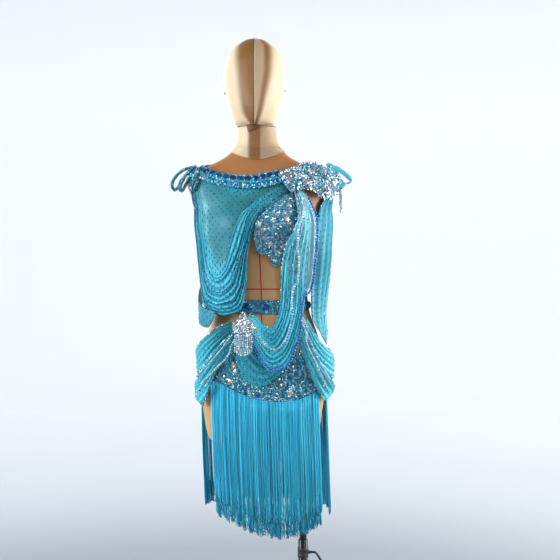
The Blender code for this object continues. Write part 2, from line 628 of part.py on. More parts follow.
def fringe(name, start, stop, high, low_tier, lift, drop, thick, colour, seed, seat_on, segments=1):
    """Strands whose roots are one strip: a row of cells, each drawn out below into a strand.

    Every cell's under face is inset, and a four sided strand hangs plumb from it with a
    little sway; the strip keeps its own back, front, top and ends.
    """
    rnd = np.random.default_rng(seed)
    probe = np.radians(np.linspace(start, stop, 60))
    line_z = smooth_table((np.degrees(probe) + 180) % 360 - 180, FRINGE_LINE[:, 0], FRINGE_LINE[:, 1])
    path = form_point(probe, line_z)
    length = np.concatenate([[0], np.cumsum(np.linalg.norm(np.diff(path, axis=0), axis=1))])
    count = max(3, int(round(length[-1] / STRAND_PITCH)))
    edge = np.interp(np.linspace(0, length[-1], count + 1), length, probe)
    edge_z = smooth_table((np.degrees(edge) + 180) % 360 - 180, FRINGE_LINE[:, 0], FRINGE_LINE[:, 1])
    radial = np.stack([np.sin(edge), -np.cos(edge), 0 * edge], -1)
    belly = form_point(edge, edge_z)
    for below in np.arange(0.01, 0.12, 0.01):       # the strands hang clear of the widest part below
        p = form_point(edge, edge_z - below)
        gain = np.maximum(np.sum((p - belly) * radial, -1), 0)
        belly = belly + radial * gain[:, None]
    verts, faces = [], []
    for k in range(2):                               # strip: inner and outer walls, top and bottom rims
        at = belly + radial * (lift + k * thick)
        for z in (edge_z + high, edge_z + low_tier):
            verts.append(np.concatenate([at[:, :2], z[:, None]], 1))
    strip = np.stack(verts)                          # inner top, inner low, outer top, outer low
    verts = strip.reshape(-1, 3).tolist()
    n = count + 1
    it, il, ot, ol = 0, n, 2 * n, 3 * n
    for i in range(count):
        faces += [(it + i, it + i + 1, il + i + 1, il + i), (ot + i + 1, ot + i, ol + i, ol + i + 1),
                  (ot + i, ot + i + 1, it + i + 1, it + i)]
    faces += [(it, il, ol, ot), (it + n - 1, ot + n - 1, ol + n - 1, il + n - 1)]
    for i in range(count):
        rim = [il + i, il + i + 1, ol + i + 1, ol + i]
        a, b, c, d = (np.array(verts[k]) for k in rim)
        mid = (a + b + c + d) / 4
        out = (c + d - a - b) / 2
        out /= np.linalg.norm(out)
        side = (b + c - a - d) / 2
        sway = side * rnd.uniform(-0.10, 0.10) + out * rnd.uniform(-0.0004, 0.0022)
        long = drop * rnd.uniform(0.985, 1.01)
        rings = []
        for step in range(segments + 1):
            t = step / segments
            bow = out * 0.0016 * math.sin(math.pi * t)
            size = 0.80 if step == 0 else 0.84 - 0.18 * t
            ring = [mid + (p - mid) * size + sway * t + bow - np.array([0, 0, long * t + 0.0012 * (t > 0)])
                    for p in (a, b, c, d)]
            if step == 0:
                ring = [mid + (p - mid) * size for p in (a, b, c, d)]
            rings.append(list(range(len(verts), len(verts) + 4)))
            verts += [p.tolist() for p in ring]
        loop = [rim] + rings
        for r0, r1 in zip(loop[:-1], loop[1:]):
            faces += [(r0[k], r0[(k + 1) % 4], r1[(k + 1) % 4], r1[k]) for k in range(4)]
        faces.append(tuple(rings[-1]))
    mesh = bpy.data.meshes.new(name)
    mesh.from_pydata(verts, [], faces)
    bm = bmesh.new()
    bm.from_mesh(mesh)
    bmesh.ops.recalc_face_normals(bm, faces=bm.faces)
    bm.to_mesh(mesh)
    bm.free()
    settle(finish(name, mesh, colour, 0.5), seat_on, 0.004)
    uu = np.linspace(edge[0], edge[-1], 12)
    top_z = np.interp(uu, edge, edge_z)
    outer = np.full((2, 12), lift + thick * 1.2)
    outer[0] += 0.006                                # the form draws in behind the hanging strands
    note_layer(np.stack([uu, uu]), np.stack([top_z - 0.055, top_z + high]), outer)


FRINGE_UNDER, FRINGE_OVER = "#1E86A8", "#2A94B8"
for k, (label, a, b) in enumerate((("left", -76, -25.3), ("middle", -25, 25), ("right", 25.3, 76))):
    fringe("fringe_under_" + label, a, b, -0.0014, -0.011, 0.0022, FRINGE_DROP - 0.010, 0.0026,
           FRINGE_UNDER, 11 + k, (0, 0, 1))
    middle = math.radians((a + b) / 2)
    fringe("fringe_over_" + label, a, b, 0.008, -0.003, 0.0066, FRINGE_DROP - 0.045, 0.0028,
           FRINGE_OVER, 21 + k, (-math.sin(middle), math.cos(middle), 0))
for k, (label, a, b) in enumerate((("left", 209.3, 262), ("middle", 151, 209), ("right", 98, 150.7))):
    fringe("fringe_back_" + label, a, b, -0.0014, -0.011, 0.0022, FRINGE_DROP - 0.010, 0.0028,
           FRINGE_UNDER, 31 + k, (0, 0, 1))
lay_down()

cloth("left_hip_swag_upper", [
    [(-36, 0.982), (-46.5, 0.969), (-56, 0.950), (-70, 0.925, 5), (-86, 0.898, 11), (-104, 0.880, 8),
     (-130, 0.872)],
    [(-36, 0.962), (-46.5, 0.937), (-56, 0.911), (-66, 0.876, 4), (-84, 0.850, 11), (-104, 0.845, 8),
     (-130, 0.848)]],
    6, 14, STONED, pleats=2, depth=0.003, lean=12)
cloth("right_hip_swag_upper", [
    [(51, 1.012), (58, 0.996), (63, 0.952), (70, 0.922, 4), (84, 0.898, 11), (106, 0.884, 8),
     (130, 0.874)],
    [(48, 0.980), (53, 0.950), (57, 0.905), (66, 0.864, 4), (84, 0.838, 11), (106, 0.832, 8),
     (130, 0.838)]],
    6, 14, STONED, pleats=2, depth=0.003, lean=12)
lay_down()
cloth("left_hip_swag_middle", [
    [(-33, 0.948), (-40, 0.931), (-49, 0.912), (-58.5, 0.888), (-67, 0.862), (-76, 0.834, 6),
     (-96, 0.806, 8)],
    [(-34, 0.934), (-43.5, 0.905), (-51, 0.877), (-56, 0.852), (-62.5, 0.826), (-69, 0.802, 5),
     (-90, 0.782, 8)]],
    6, 12, STONED, pleats=2, depth=0.003, lean=12)
cloth("right_hip_swag_lower", [
    [(50, 0.975), (55, 0.925), (64, 0.872, 3), (78, 0.826, 8), (98, 0.800, 10)],
    [(45, 0.962), (47, 0.914), (53, 0.865), (61, 0.819, 3), (70, 0.786, 8)]],
    7, 11, STONED, pleats=2, depth=0.003, lean=12)
lay_down()
cloth("left_hip_tail", [
    [(-50, 0.872), (-56, 0.846), (-63, 0.820), (-76, 0.794, 6)],
    [(-53, 0.852), (-57, 0.828), (-62, 0.796, 4), (-70, 0.772, 8)]],
    4, 9, "#2F9AA8", pleats=1, depth=0.002)
lay_down()

cloth("lower_swag", [
    [(-32, 0.946), (-20, 0.922), (0, 0.898), (20, 0.902), (42, 0.950)],
    [(-31.5, 0.916), (-31, 0.888), (-28.5, 0.863), (-23, 0.841), (-14, 0.829), (-5, 0.826), (6, 0.831),
     (16, 0.848), (29, 0.871), (42.5, 0.918)]],
    7, 13, "#7FC4CC", pleats=3, depth=0.0025, lean=16)
lay_down()
cloth("sash", [
    [(45, 1.300), (37, 1.245), (33.5, 1.205), (30.5, 1.160), (28.5, 1.110), (28.3, 1.065), (27, 1.026),
     (22, 0.994), (14, 0.972), (4, 0.977), (-7, 0.997), (-18, 1.006)],
    [(50, 1.298), (43.5, 1.228), (43.5, 1.158), (44, 1.078), (41.5, 1.027), (33.5, 0.972), (25, 0.938),
     (13.6, 0.918), (1.5, 0.936), (-10, 0.965), (-20, 0.982)],
    [(55.5, 1.297), (52, 1.242), (53, 1.198), (54.5, 1.142), (54.5, 1.079), (52, 1.026), (45.5, 0.973),
     (38.5, 0.927), (31, 0.888), (22, 0.868), (12, 0.864), (2, 0.878), (-6, 0.903), (-15, 0.938),
     (-21, 0.960)]],
    15, 22, TURQUOISE, pleats=7, depth=0.0048, pinch=0.15, lean=9)
lay_down()
cloth("shoulder_applique", [
    [(40, 1.350), (50, 1.361), (62, 1.373), (74, 1.382), (86, 1.383), (94, 1.380)],
    [(43, 1.298), (53, 1.311), (62, 1.315), (69, 1.301), (82, 1.315), (92, 1.332)]],
    6, 12, "#C3CFE2", bumps=rosettes([(50, 1.332), (60, 1.350), (72, 1.334), (80, 1.362), (86, 1.340)],
                                     0.004, 0.014))
lay_down()

# ---------------------------------------------------------------- beaded strings
string("pearl_string", [(52.5, 1.288), (49, 1.261), (44, 1.238), (41.5, 1.224), (43.5, 1.178),
                        (46, 1.143), (46.6, 1.118), (45.8, 1.091), (42, 1.072), (40, 1.050), (37.5, 1.000),
                        (33.3, 0.965), (29.5, 0.944), (20.7, 0.921), (13.5, 0.918), (7, 0.926), (0, 0.939),
                        (-6, 0.961), (-10.4, 0.984)], 34, 0.0024, "#D8DCE8", lean=9)
lay_down()
string("blue_string", [(58.5, 1.292), (60, 1.266), (61, 1.241), (61, 1.206), (62, 1.174), (62, 1.115),
                       (61, 1.085), (57.5, 1.061), (51.5, 1.046), (48.5, 1.028), (46, 0.984),
                       (42, 0.942), (37.5, 0.915), (32, 0.886), (27, 0.874), (19.8, 0.869), (12.5, 0.870),
                       (5, 0.881), (-1.7, 0.899), (-7, 0.918), (-10.7, 0.934)], 34, 0.0026, "#1A3FA0", lean=9)
lay_down()
string("left_hip_string", [(-31, 0.942), (-38, 0.911), (-45, 0.886), (-51.5, 0.866), (-58, 0.846),
                           (-64, 0.828)], 13, 0.0026, "#CFE3EA")
string("right_hip_string", [(46, 0.990), (49, 0.968), (52, 0.946), (57.5, 0.899), (63, 0.860),
                            (67, 0.842)], 12, 0.0026, "#9FB4C4")
lay_down()

# ---------------------------------------------------------------- brooch and tassels
BROOCH_U, BROOCH_Z = math.radians(-27), 0.972


def brooch():
    """Cluster of crystals: a domed star with pointed rays on a flat back."""
    lift = float(layer_under(np.array([[BROOCH_U]]), np.array([[BROOCH_Z]]), 6, 7)[0, 0]) + 0.0016
    n = form_normal(BROOCH_U, BROOCH_Z)
    n[2] = 0
    n /= np.linalg.norm(n)
    up = np.array([0, 0, 1.0])
    side = np.cross(up, n)
    mid = form_point(BROOCH_U, BROOCH_Z) + n * lift
    rays = [0.030, 0.022, 0.029, 0.022, 0.036, 0.023, 0.031, 0.022, 0.033, 0.022, 0.031, 0.022, 0.030, 0.022]
    rings = []
    for scale, out in ((1.0, 0.0), (1.0, 0.003), (0.62, 0.008), (0.25, 0.0115)):
        rings.append([mid + n * out + (side * math.cos(t) * 0.85 + up * math.sin(t) * 0.80) * r * scale
                      for t, r in zip(np.linspace(0, 2 * math.pi, len(rays), endpoint=False), rays)])
    settle(loft("brooch", rings, "#BFD8E6", 0.2), -n)
    return mid, n, side


BROOCH_AT, OUT, ACROSS = brooch()


def drops(name, root, across, out, rows, colour, thick, seat_on):
    """Tassel: strands of beads drawn down from one small bar; rows are (place, length)."""
    verts, faces = [], []
    places = [p for p, _ in rows]
    half = thick / 2
    marks = sorted([p - half for p in places] + [p + half for p in places])
    lines = []
    for depth in (0.0, thick):
        for z in (0.0, -0.006):
            lines.append([root + across * m + out * depth + np.array([0, 0, z]) for m in marks])
    n = len(marks)
    verts = [v.tolist() for line in lines for v in line]
    it, il, ot, ol = 0, n, 2 * n, 3 * n
    for i in range(n - 1):
        faces += [(it + i, it + i + 1, il + i + 1, il + i), (ot + i + 1, ot + i, ol + i, ol + i + 1),
                  (ot + i, ot + i + 1, it + i + 1, it + i)]
        if i % 2:
            faces.append((il + i, il + i + 1, ol + i + 1, ol + i))
    faces += [(it, il, ol, ot), (it + n - 1, ot + n - 1, ol + n - 1, il + n - 1)]
    for k, (_, long) in enumerate(rows):
        i = 2 * k
        last = [il + i, il + i + 1, ol + i + 1, ol + i]
        centre = sum(np.array(verts[j]) for j in last) / 4
        for drop, size in ((long - 0.006, 0.75), (long - 0.003, 1.0), (long, 0.6)):
            ring = [centre + (np.array(verts[j]) - centre) * size / (1.0 if last[0] < 4 * n else lastsize)
                    for j in last]
            ring = [np.array([p[0], p[1], centre[2] - drop]) for p in ring]
            new = list(range(len(verts), len(verts) + 4))
            verts += [p.tolist() for p in ring]
            faces += [(last[j], last[(j + 1) % 4], new[(j + 1) % 4], new[j]) for j in range(4)]
            last, lastsize = new, size
        faces.append(tuple(last))
    mesh = bpy.data.meshes.new(name)
    mesh.from_pydata(verts, [], faces)
    bm = bmesh.new()
    bm.from_mesh(mesh)
    bmesh.ops.recalc_face_normals(bm, faces=bm.faces)
    bm.to_mesh(mesh)
    bm.free()
    settle(finish(name, mesh, colour, 0.25), seat_on)


hang_lift = float(layer_under(np.array([[BROOCH_U]]), np.array([[0.93]]), 6, 8)[0, 0])
hang_point = form_point(BROOCH_U, 0.93) + form_normal(BROOCH_U, 0.93) * hang_lift
reach_out = max(0.0, float((hang_point - BROOCH_AT) @ OUT)) + 0.001
drops("brooch_tassel", BROOCH_AT + OUT * reach_out + np.array([0, 0, -0.0285]), ACROSS, OUT,
      [(-0.0195, 0.034), (-0.0115, 0.049), (-0.0040, 0.055), (0.0035, 0.052), (0.0105, 0.050),
       (0.0165, 0.042), (0.0220, 0.036)], "#D4E2EE", 0.0030, -OUT)
tassel_u, tassel_z = math.radians(90), 1.318
tassel_lift = float(layer_under(np.array([[tassel_u]]), np.array([[1.29]]), 3, 9)[0, 0])
drops("shoulder_tassel", form_point(tassel_u, 1.30) + np.array([tassel_lift + 0.004, -0.012, 0.012]),
      np.array([0.35, -0.94, 0.0]), np.array([0.94, 0.35, 0.0]),
      [(0.0, 0.030), (0.0065, 0.048), (0.013, 0.040)], "#AEB9C9", 0.0032, (-1, 0, 0))

# ---------------------------------------------------------------- shoulder loops
LEFT_ROOT_Y = (0.004, -0.032, -0.054)
LEFT_LOOPS = {  # rows of (x, height) out from the shoulder and back
    "left_loop_outer": [(-0.186, 1.3865), (-0.2015, 1.3825), (-0.2158, 1.3783), (-0.2314, 1.3679),
                        (-0.2431, 1.3536), (-0.2483, 1.338), (-0.2418, 1.325), (-0.2319, 1.3328),
                        (-0.2249, 1.3484), (-0.2145, 1.362), (-0.2035, 1.3700)],
    "left_loop_middle": [(-0.184, 1.3822), (-0.195, 1.3765), (-0.208, 1.3634), (-0.2197, 1.3442),
                         (-0.2262, 1.326), (-0.221, 1.3198), (-0.2129, 1.3328), (-0.2060, 1.346),
                         (-0.1985, 1.358)],
    "left_loop_inner": [(-0.178, 1.3790), (-0.186, 1.3740), (-0.195, 1.361), (-0.203, 1.343), (-0.206, 1.327),
                        (-0.201, 1.320), (-0.195, 1.329), (-0.190, 1.342)]}
for (name, path), y in zip(LEFT_LOOPS.items(), LEFT_ROOT_Y):
    settle(tube(name, smooth_path([(x, y, z) for x, z in path], 17), 0.0038, "#8FA9BC", 0.35),
           (1, 0, -0.25))
RIGHT_LOOPS = {
    "right_loop_outer": (0.000, [(0.190, 1.3800), (0.1984, 1.3832), (0.210, 1.3775), (0.222, 1.3695),
                                 (0.234, 1.3588), (0.2405, 1.3484), (0.2314, 1.3419), (0.221, 1.3437),
                                 (0.2106, 1.3471), (0.200, 1.353)]),
    "right_loop_upper": (0.014, [(0.186, 1.3890), (0.1938, 1.3910), (0.2054, 1.3830), (0.2132, 1.370),
                                 (0.2096, 1.357), (0.2006, 1.364), (0.194, 1.373)]),
    "right_loop_lower": (-0.018, [(0.1925, 1.3380), (0.1985, 1.3318), (0.2088, 1.3331), (0.2156, 1.3400),
                                  (0.2088, 1.3490), (0.1985, 1.3530)])}
for name, (y, path) in RIGHT_LOOPS.items():
    settle(tube(name, smooth_path([(x, y, z) for x, z in path], 16), 0.0034, "#9FD6DE", 0.35),
           (-1, 0, -0.1))
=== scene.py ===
"""Draped salsa dress with a long fringe skirt on its dress form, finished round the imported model."""
import math

import bpy
import numpy as np
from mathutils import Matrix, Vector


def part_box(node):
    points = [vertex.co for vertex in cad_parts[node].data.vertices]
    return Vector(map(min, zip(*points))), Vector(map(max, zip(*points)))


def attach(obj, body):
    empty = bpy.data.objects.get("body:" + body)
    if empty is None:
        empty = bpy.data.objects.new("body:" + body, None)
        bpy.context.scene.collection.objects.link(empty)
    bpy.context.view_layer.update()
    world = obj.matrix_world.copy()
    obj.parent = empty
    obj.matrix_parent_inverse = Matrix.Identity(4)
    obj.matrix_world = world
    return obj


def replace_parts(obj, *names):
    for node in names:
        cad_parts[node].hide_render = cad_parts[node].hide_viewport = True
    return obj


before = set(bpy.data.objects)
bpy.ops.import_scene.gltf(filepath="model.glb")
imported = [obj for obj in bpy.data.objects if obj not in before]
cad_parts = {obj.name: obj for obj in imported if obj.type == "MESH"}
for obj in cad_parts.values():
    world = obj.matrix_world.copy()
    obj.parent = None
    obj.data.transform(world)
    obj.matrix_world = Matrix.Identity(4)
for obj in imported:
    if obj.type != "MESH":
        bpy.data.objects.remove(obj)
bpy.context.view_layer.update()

# -------------------- camera
# Stands 2.6 m in front at chest height and looks level, as a photographer of a shop form would.
lens = bpy.data.cameras.new("front_view")
lens.lens, lens.sensor_width = 64.3, 36.0
camera = bpy.data.objects.new("front_view", lens)
camera.location = (0.0442, -2.6, 1.091)
camera.rotation_euler = (math.pi / 2, 0.0, 0.0)
bpy.context.scene.collection.objects.link(camera)
bpy.context.scene.camera = camera
bpy.context.scene.view_settings.view_transform = "Standard"


# -------------------- studio
# A pale sweep of floor that turns up into a wall all round, a tall soft light at each side for a
# bright band down both edges, weak ones in front, above and behind, and two on the wall.
def colour(text):
    """sRGB hex to linear: each channel is the sRGB curve undone, with alpha 1."""
    c = [int(text[i:i + 2], 16) / 255 for i in (1, 3, 5)]
    return tuple(v / 12.92 if v <= 0.04045 else ((v + 0.055) / 1.055) ** 2.4 for v in c) + (1.0,)


def add(material, kind, links, **settings):
    """One node in a material, a Mix always of colours: links gives each input a value, a hex
    colour, another node's output, or a node, which stands for its first live output."""
    made = material.node_tree.nodes.new("ShaderNode" + kind)
    if kind == "Mix":
        made.data_type = "RGBA"
    for key, value in settings.items():
        setattr(made, key, value)
    for where, what in links.items():
        if isinstance(what, bpy.types.Node):
            what = next(end for end in what.outputs if end.enabled)
        if isinstance(what, bpy.types.NodeSocket):
            material.node_tree.links.new(what, made.inputs[where])
        else:
            made.inputs[where].default_value = colour(what) if isinstance(what, str) else what
    return made


def bare(name):
    """A material with nodes, its tree emptied."""
    material = bpy.data.materials.new(name)
    material.use_nodes = True
    material.node_tree.nodes.clear()
    return material


def evenly(count):
    """So many numbers in equal steps from 0 to 1."""
    return np.linspace(0, 1, count)


def circle(steps):
    """Angles of equal steps once round, from nought."""
    return np.linspace(0, 2 * math.pi, steps, endpoint=False)


def surface(name, points, finish, ring=False, caps=False, out=None):
    """Quads over a grid of points (rows, columns, 3); ring joins the last column to the first.

    UVs are metres: across is the length walked along a row, up the length walked down a column.
    caps close the first and last rows of a ring.  The faces are turned to look along out, or
    away from the upright line through the grid's middle.
    """
    rows, cols = points.shape[:2]
    wide = cols if ring else cols - 1
    i, j = np.arange(rows - 1)[:, None], np.arange(wide)[None, :]
    k = (j + 1) % cols
    quads = np.stack([i * cols + j, i * cols + k, (i + 1) * cols + k, (i + 1) * cols + j], -1)
    step_u = np.linalg.norm(np.roll(points, -1, 1) - points, axis=-1)[:, :wide]
    step_v = np.linalg.norm(np.diff(points, axis=0), axis=-1)
    u = np.concatenate([np.zeros((rows, 1)), np.cumsum(step_u, 1)], 1)
    v = np.concatenate([np.zeros((1, cols)), np.cumsum(step_v, 0)], 0)
    v = np.concatenate([v, v[:, :1]], 1) if ring else v
    uv = np.stack([u[:, :wide + 1], v[:, :wide + 1]], -1)
    corners = np.stack([uv[:-1, :-1], uv[:-1, 1:], uv[1:, 1:], uv[1:, :-1]], 2)
    flat = points.reshape(-1, 3)
    a, b, d = flat[quads[..., 0]], flat[quads[..., 1]], flat[quads[..., 3]]
    normal = np.cross(b - a, d - a)
    if out is None:
        out = a - np.array([flat[:, 0].mean(), flat[:, 1].mean(), 0]) * (1.0 if ring else 0.0)
        out[..., 2] = 0
    turned = (normal * out).sum() < 0
    if turned:
        quads, corners = quads[..., ::-1], corners[:, :, ::-1]
    faces = quads.reshape(-1, 4).tolist()
    uvs = corners.reshape(-1, 2)
    if caps:
        ends = [list(range(cols)), list(range((rows - 1) * cols, rows * cols))]
        faces += [ends[0] if turned else ends[0][::-1], ends[1][::-1] if turned else ends[1]]
        uvs = np.concatenate([uvs, np.zeros((2 * cols, 2))])
    piece = meshed(name, flat, faces, finish, smooth=True)
    piece.data.uv_layers.new(name="cloth").data.foreach_set("uv", uvs.ravel())
    return piece


def meshed(name, points, faces, finish, tints=None, smooth=False):
    """A mesh and its object at the origin; tints are colours of equal runs of its points."""
    mesh = bpy.data.meshes.new(name)
    mesh.from_pydata(points.reshape(-1, 3).tolist(), [], faces)
    if tints is not None:
        runs = np.repeat(tints, len(mesh.vertices) // len(tints), 0)
        mesh.attributes.new("tint", "FLOAT_COLOR", "POINT").data.foreach_set("color", runs.ravel())
    mesh.polygons.foreach_set("use_smooth", np.full(len(faces), smooth))
    mesh.materials.append(finish)
    mesh.update()
    piece = bpy.data.objects.new(name, mesh)
    bpy.context.scene.collection.objects.link(piece)
    return piece


UP = np.array([0, 0, 1.0])
sweep = [(0.0, 0.0), (1.0, 0.0), (3.0, 0.0), (6.0, 0.0)]
sweep += [(6.0 + 3.0 * math.sin(t), 3.0 - 3.0 * math.cos(t)) for t in np.linspace(0.15, math.pi / 2, 12)]
sweep += [(9.0, 5.0), (9.0, 9.0)]
paper = bare("matt_background_paper")
far = add(paper, "VectorMath", {"Vector": add(paper, "TexCoord", {}).outputs["Object"]}, operation="LENGTH")
rise = add(paper, "MapRange", {"Value": far, "From Min": 1.5, "From Max": 6.0})
# Painted shade: the paper is darker near the middle of the floor and pales out to the wall.
floor_shade = add(paper, "Mix", {"Factor": rise, "A": "#888E94", "B": "#ECEEF0"})
shader = add(paper, "BsdfPrincipled", {"Base Color": floor_shade, "Roughness": 0.95, "Specular IOR Level": 0.1})
add(paper, "OutputMaterial", {"Surface": shader})
floor = surface("studio_floor", np.array([[(max(r, 1e-3) * math.cos(t), max(r, 1e-3) * math.sin(t), z)
                for t in circle(96)] for r, z in sweep]), paper, ring=True, out=UP)
world = bpy.data.worlds.new("studio_air")
world.use_nodes = True
world.node_tree.nodes["Background"].inputs["Color"].default_value = colour("#DCE6F2")
world.node_tree.nodes["Background"].inputs["Strength"].default_value = 0.2
bpy.context.scene.world = world
for name, place, aim, wide, tall, watts, tint in (   # rectangular diffusers, each facing its aim
        ("window_left", (-2.2, -0.8, 1.55), (0, 0, 1.15), 1.3, 2.2, 73, "#F4F9FF"),
        ("window_right", (2.3, 0.05, 1.6), (0, 0, 1.15), 1.3, 2.2, 79, "#FFFFFC"),
        ("fill_right", (1.5, -2.0, 1.5), (0, 0, 1.15), 0.6, 1.6, 9, "#FFFFFF"),
        ("top_front", (0.0, -2.3, 3.3), (0, 0, 1.05), 1.8, 1.2, 18, "#FFFFFF"),
        ("back_left", (-1.6, 2.2, 2.2), (0, 0, 1.1), 1.0, 1.8, 22, "#F6FAFF"),
        ("back_right", (1.8, 2.0, 2.0), (0, 0, 1.1), 1.0, 1.8, 22, "#FFFFFF"),
        ("wall_left", (-2.2, 1.2, 3.6), (-1.6, 9, 1.4), 2.4, 1.0, 205, "#F4F8FF"),
        ("wall_right", (2.2, 1.2, 3.6), (1.8, 9, 1.4), 2.4, 1.0, 255, "#FFFFFF")):
    lamp = bpy.data.lights.new(name, "AREA")
    lamp.shape, lamp.size, lamp.size_y = "RECTANGLE", wide, tall
    lamp.energy, lamp.color = watts, colour(tint)[:3]
    holder = bpy.data.objects.new(name, lamp)
    away = np.array(place, float) - np.array(aim, float)
    flat = math.hypot(away[0], away[1])
    holder.location = place
    holder.rotation_euler = (math.atan2(flat, away[2]), 0.0, math.atan2(away[0], -away[1]))
    holder.visible_camera = False
    bpy.context.scene.collection.objects.link(holder)

# -------------------- stand
# Round steel plate with a welded socket, a fixed outer tube, a clamp collar with its turning
# lever, and the inner tube that carries the form up and down; powder coated and lacquered dark.
coated = bare("powder_coated_steel")     # fine orange peel breaks the highlight, its tone varies in soft patches
where = add(coated, "TexCoord", {}).outputs["Object"]
peel = add(coated, "TexNoise", {"Vector": where, "Scale": 420.0})
dust = add(coated, "TexNoise", {"Vector": where, "Scale": 14.0, "Detail": 4.0})
coat_tone = add(coated, "Mix", {"Factor": dust, "A": "#24262B", "B": "#33363D"})
relief = add(coated, "Bump", {"Height": peel, "Strength": 0.12, "Distance": 0.0004})
shader = add(coated, "BsdfPrincipled", {
    "Base Color": coat_tone, "Roughness": 0.38, "Normal": relief, "Coat Weight": 0.25,
    "Coat Roughness": 0.25})
add(coated, "OutputMaterial", {"Surface": shader})
lacquered = bare("lacquered_steel_tube")  # drawn tube under dark lacquer: faint rings round it
where = add(lacquered, "TexCoord", {}).outputs["Object"]
draw = add(lacquered, "Mapping", {"Vector": where, "Scale": (40.0, 40.0, 900.0)})
rings = add(lacquered, "TexNoise", {"Vector": draw, "Scale": 1.0})
tube_tone = add(lacquered, "Mix", {"Factor": rings, "A": "#2A2A2F", "B": "#4A4144"})
shader = add(lacquered, "BsdfPrincipled", {"Base Color": tube_tone, "Roughness": 0.22, "Metallic": 0.75})
add(lacquered, "OutputMaterial", {"Surface": shader})


def turned(name, profile, finish, x=0.0, sides=72):
    """A closed outline of (radius, height) carried round the upright line at x."""
    t = circle(sides)
    r, z = np.array(profile, float).T
    r = np.maximum(r, 1e-4)
    grid = np.stack([x + r[:, None] * np.sin(t), -r[:, None] * np.cos(t), z[:, None] + 0 * t], -1)
    closed = profile[0][0] > 1e-3
    if closed:
        grid = np.concatenate([grid, grid[:1]])
    edge = np.diff(np.concatenate([r, r[:1]]))
    rise = np.diff(np.concatenate([z, z[:1]]))
    piece = surface(name, grid, finish, ring=True, caps=not closed,
                    out=np.stack([rise[:len(grid) - 1, None] * np.sin(t), -rise[:len(grid) - 1, None]
                                  * np.cos(t), -edge[:len(grid) - 1, None] + 0 * t], -1))
    piece.modifiers.new("sharp_edges", "EDGE_SPLIT").split_angle = math.radians(40)
    return piece


def pinned(piece, body="form"):
    """A piece that rides on a body."""
    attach(piece, body)
    return piece


def standing(piece, node, body="form"):
    """A piece that also takes its CAD node's place."""
    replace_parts(pinned(piece, body), node)
    return piece


BASE_R, BASE_T, POLE_X, POLE_R, POLE_TOP, COLLAR_Z = 0.195, 0.008, 0.104, 0.0125, 0.418, 0.384
bend = [(BASE_R - 0.003 + 0.003 * math.sin(t), BASE_T - 0.003 + 0.003 * math.cos(t))
        for t in np.linspace(math.pi / 2, 0, 6)]
standing(turned("base_disc", [(0, 0), (BASE_R - 0.0012, 0), (BASE_R, 0.0012)] + bend +
                [(0.15, BASE_T), (0.09, BASE_T), (0, BASE_T)], coated, sides=128), "base_plate", "stand")
standing(turned("pole_socket", [(POLE_R + 0.0003, 0.0083), (0.0235, 0.0083), (0.024, 0.009), (0.024, 0.017),
                (0.0232, 0.0185), (0.0185, 0.0225), (0.017, 0.026), (0.017, 0.0338), (0.0165, 0.0343),
                (POLE_R + 0.0003, 0.0343)], coated, POLE_X), "foot_socket", "stand")
standing(turned("fixed_tube", [(0.0098, 0.0083), (POLE_R, 0.0083), (POLE_R, POLE_TOP - 0.0015),
                (POLE_R - 0.0008, POLE_TOP - 0.0003), (POLE_R - 0.0015, POLE_TOP), (0.0098, POLE_TOP)],
                lacquered, POLE_X), "outer_tube", "stand")
standing(turned("sliding_tube", [(0.008, 0.15), (0.0095, 0.15), (0.0095, 0.6717), (0.008, 0.6717)],
                lacquered, POLE_X), "inner_tube")
standing(turned("collar_ring", [(POLE_R + 0.0003, 0.371), (0.0136, 0.371), (0.0141, 0.3717), (0.0141, 0.379),
                (0.0137, 0.38), (0.0137, 0.388), (0.0141, 0.389), (0.0141, 0.3963), (0.0136, 0.397),
                (POLE_R + 0.0003, 0.397)], coated, POLE_X), "clamp_collar", "stand")


def walked(line):
    """Length walked along a line of points, nought at its start."""
    return np.concatenate([[0], np.cumsum(np.linalg.norm(np.diff(line, axis=0), axis=1))])


def unit(ways):
    """Directions scaled to length 1."""
    return ways / np.maximum(np.linalg.norm(ways, axis=-1, keepdims=True), 1e-12)


def smooth_path(points, count):
    """Catmull-Rom curve through the points, read off at even lengths."""
    p = np.asarray(points, float)
    q = np.concatenate([[2 * p[0] - p[1]], p, [2 * p[-1] - p[-2]]])
    t = np.linspace(0, len(p) - 1, count * 6)
    i = np.minimum(t.astype(int), len(p) - 2)
    f = (t - i)[:, None]
    a, b, c, d = q[i], q[i + 1], q[i + 2], q[i + 3]
    r = 0.5 * (2 * b + (c - a) * f + (2 * a - 5 * b + 4 * c - d) * f ** 2
               + (3 * b - a - 3 * c + d) * f ** 3)
    s = walked(r)
    e = np.linspace(0, s[-1], count)
    return np.stack([np.interp(e, s, r[:, k]) for k in range(3)], -1)


def framed(path, hint):
    """Along, side and top directions at each point of a path; side is across the hint."""
    ahead = unit(np.gradient(path, axis=0))
    side = unit(np.cross(ahead, np.broadcast_to(hint, ahead.shape)))
    return ahead, side, np.cross(side, ahead)


def swept(name, path, radius, finish, hint=(0, 1, 0), sides=16, flat=1.0):
    """A round or oval section carried along a path: radius across, radius times flat upwards."""
    _, side, top = framed(path, np.array(hint, float))
    t = circle(sides)[None, :, None]
    r = np.broadcast_to(np.asarray(radius, float), (len(path),))[:, None, None]
    spokes = side[:, None] * np.cos(t) + top[:, None] * np.sin(t) * flat
    return surface(name, path[:, None] + spokes * r, finish, ring=True, caps=True, out=spokes[:-1])


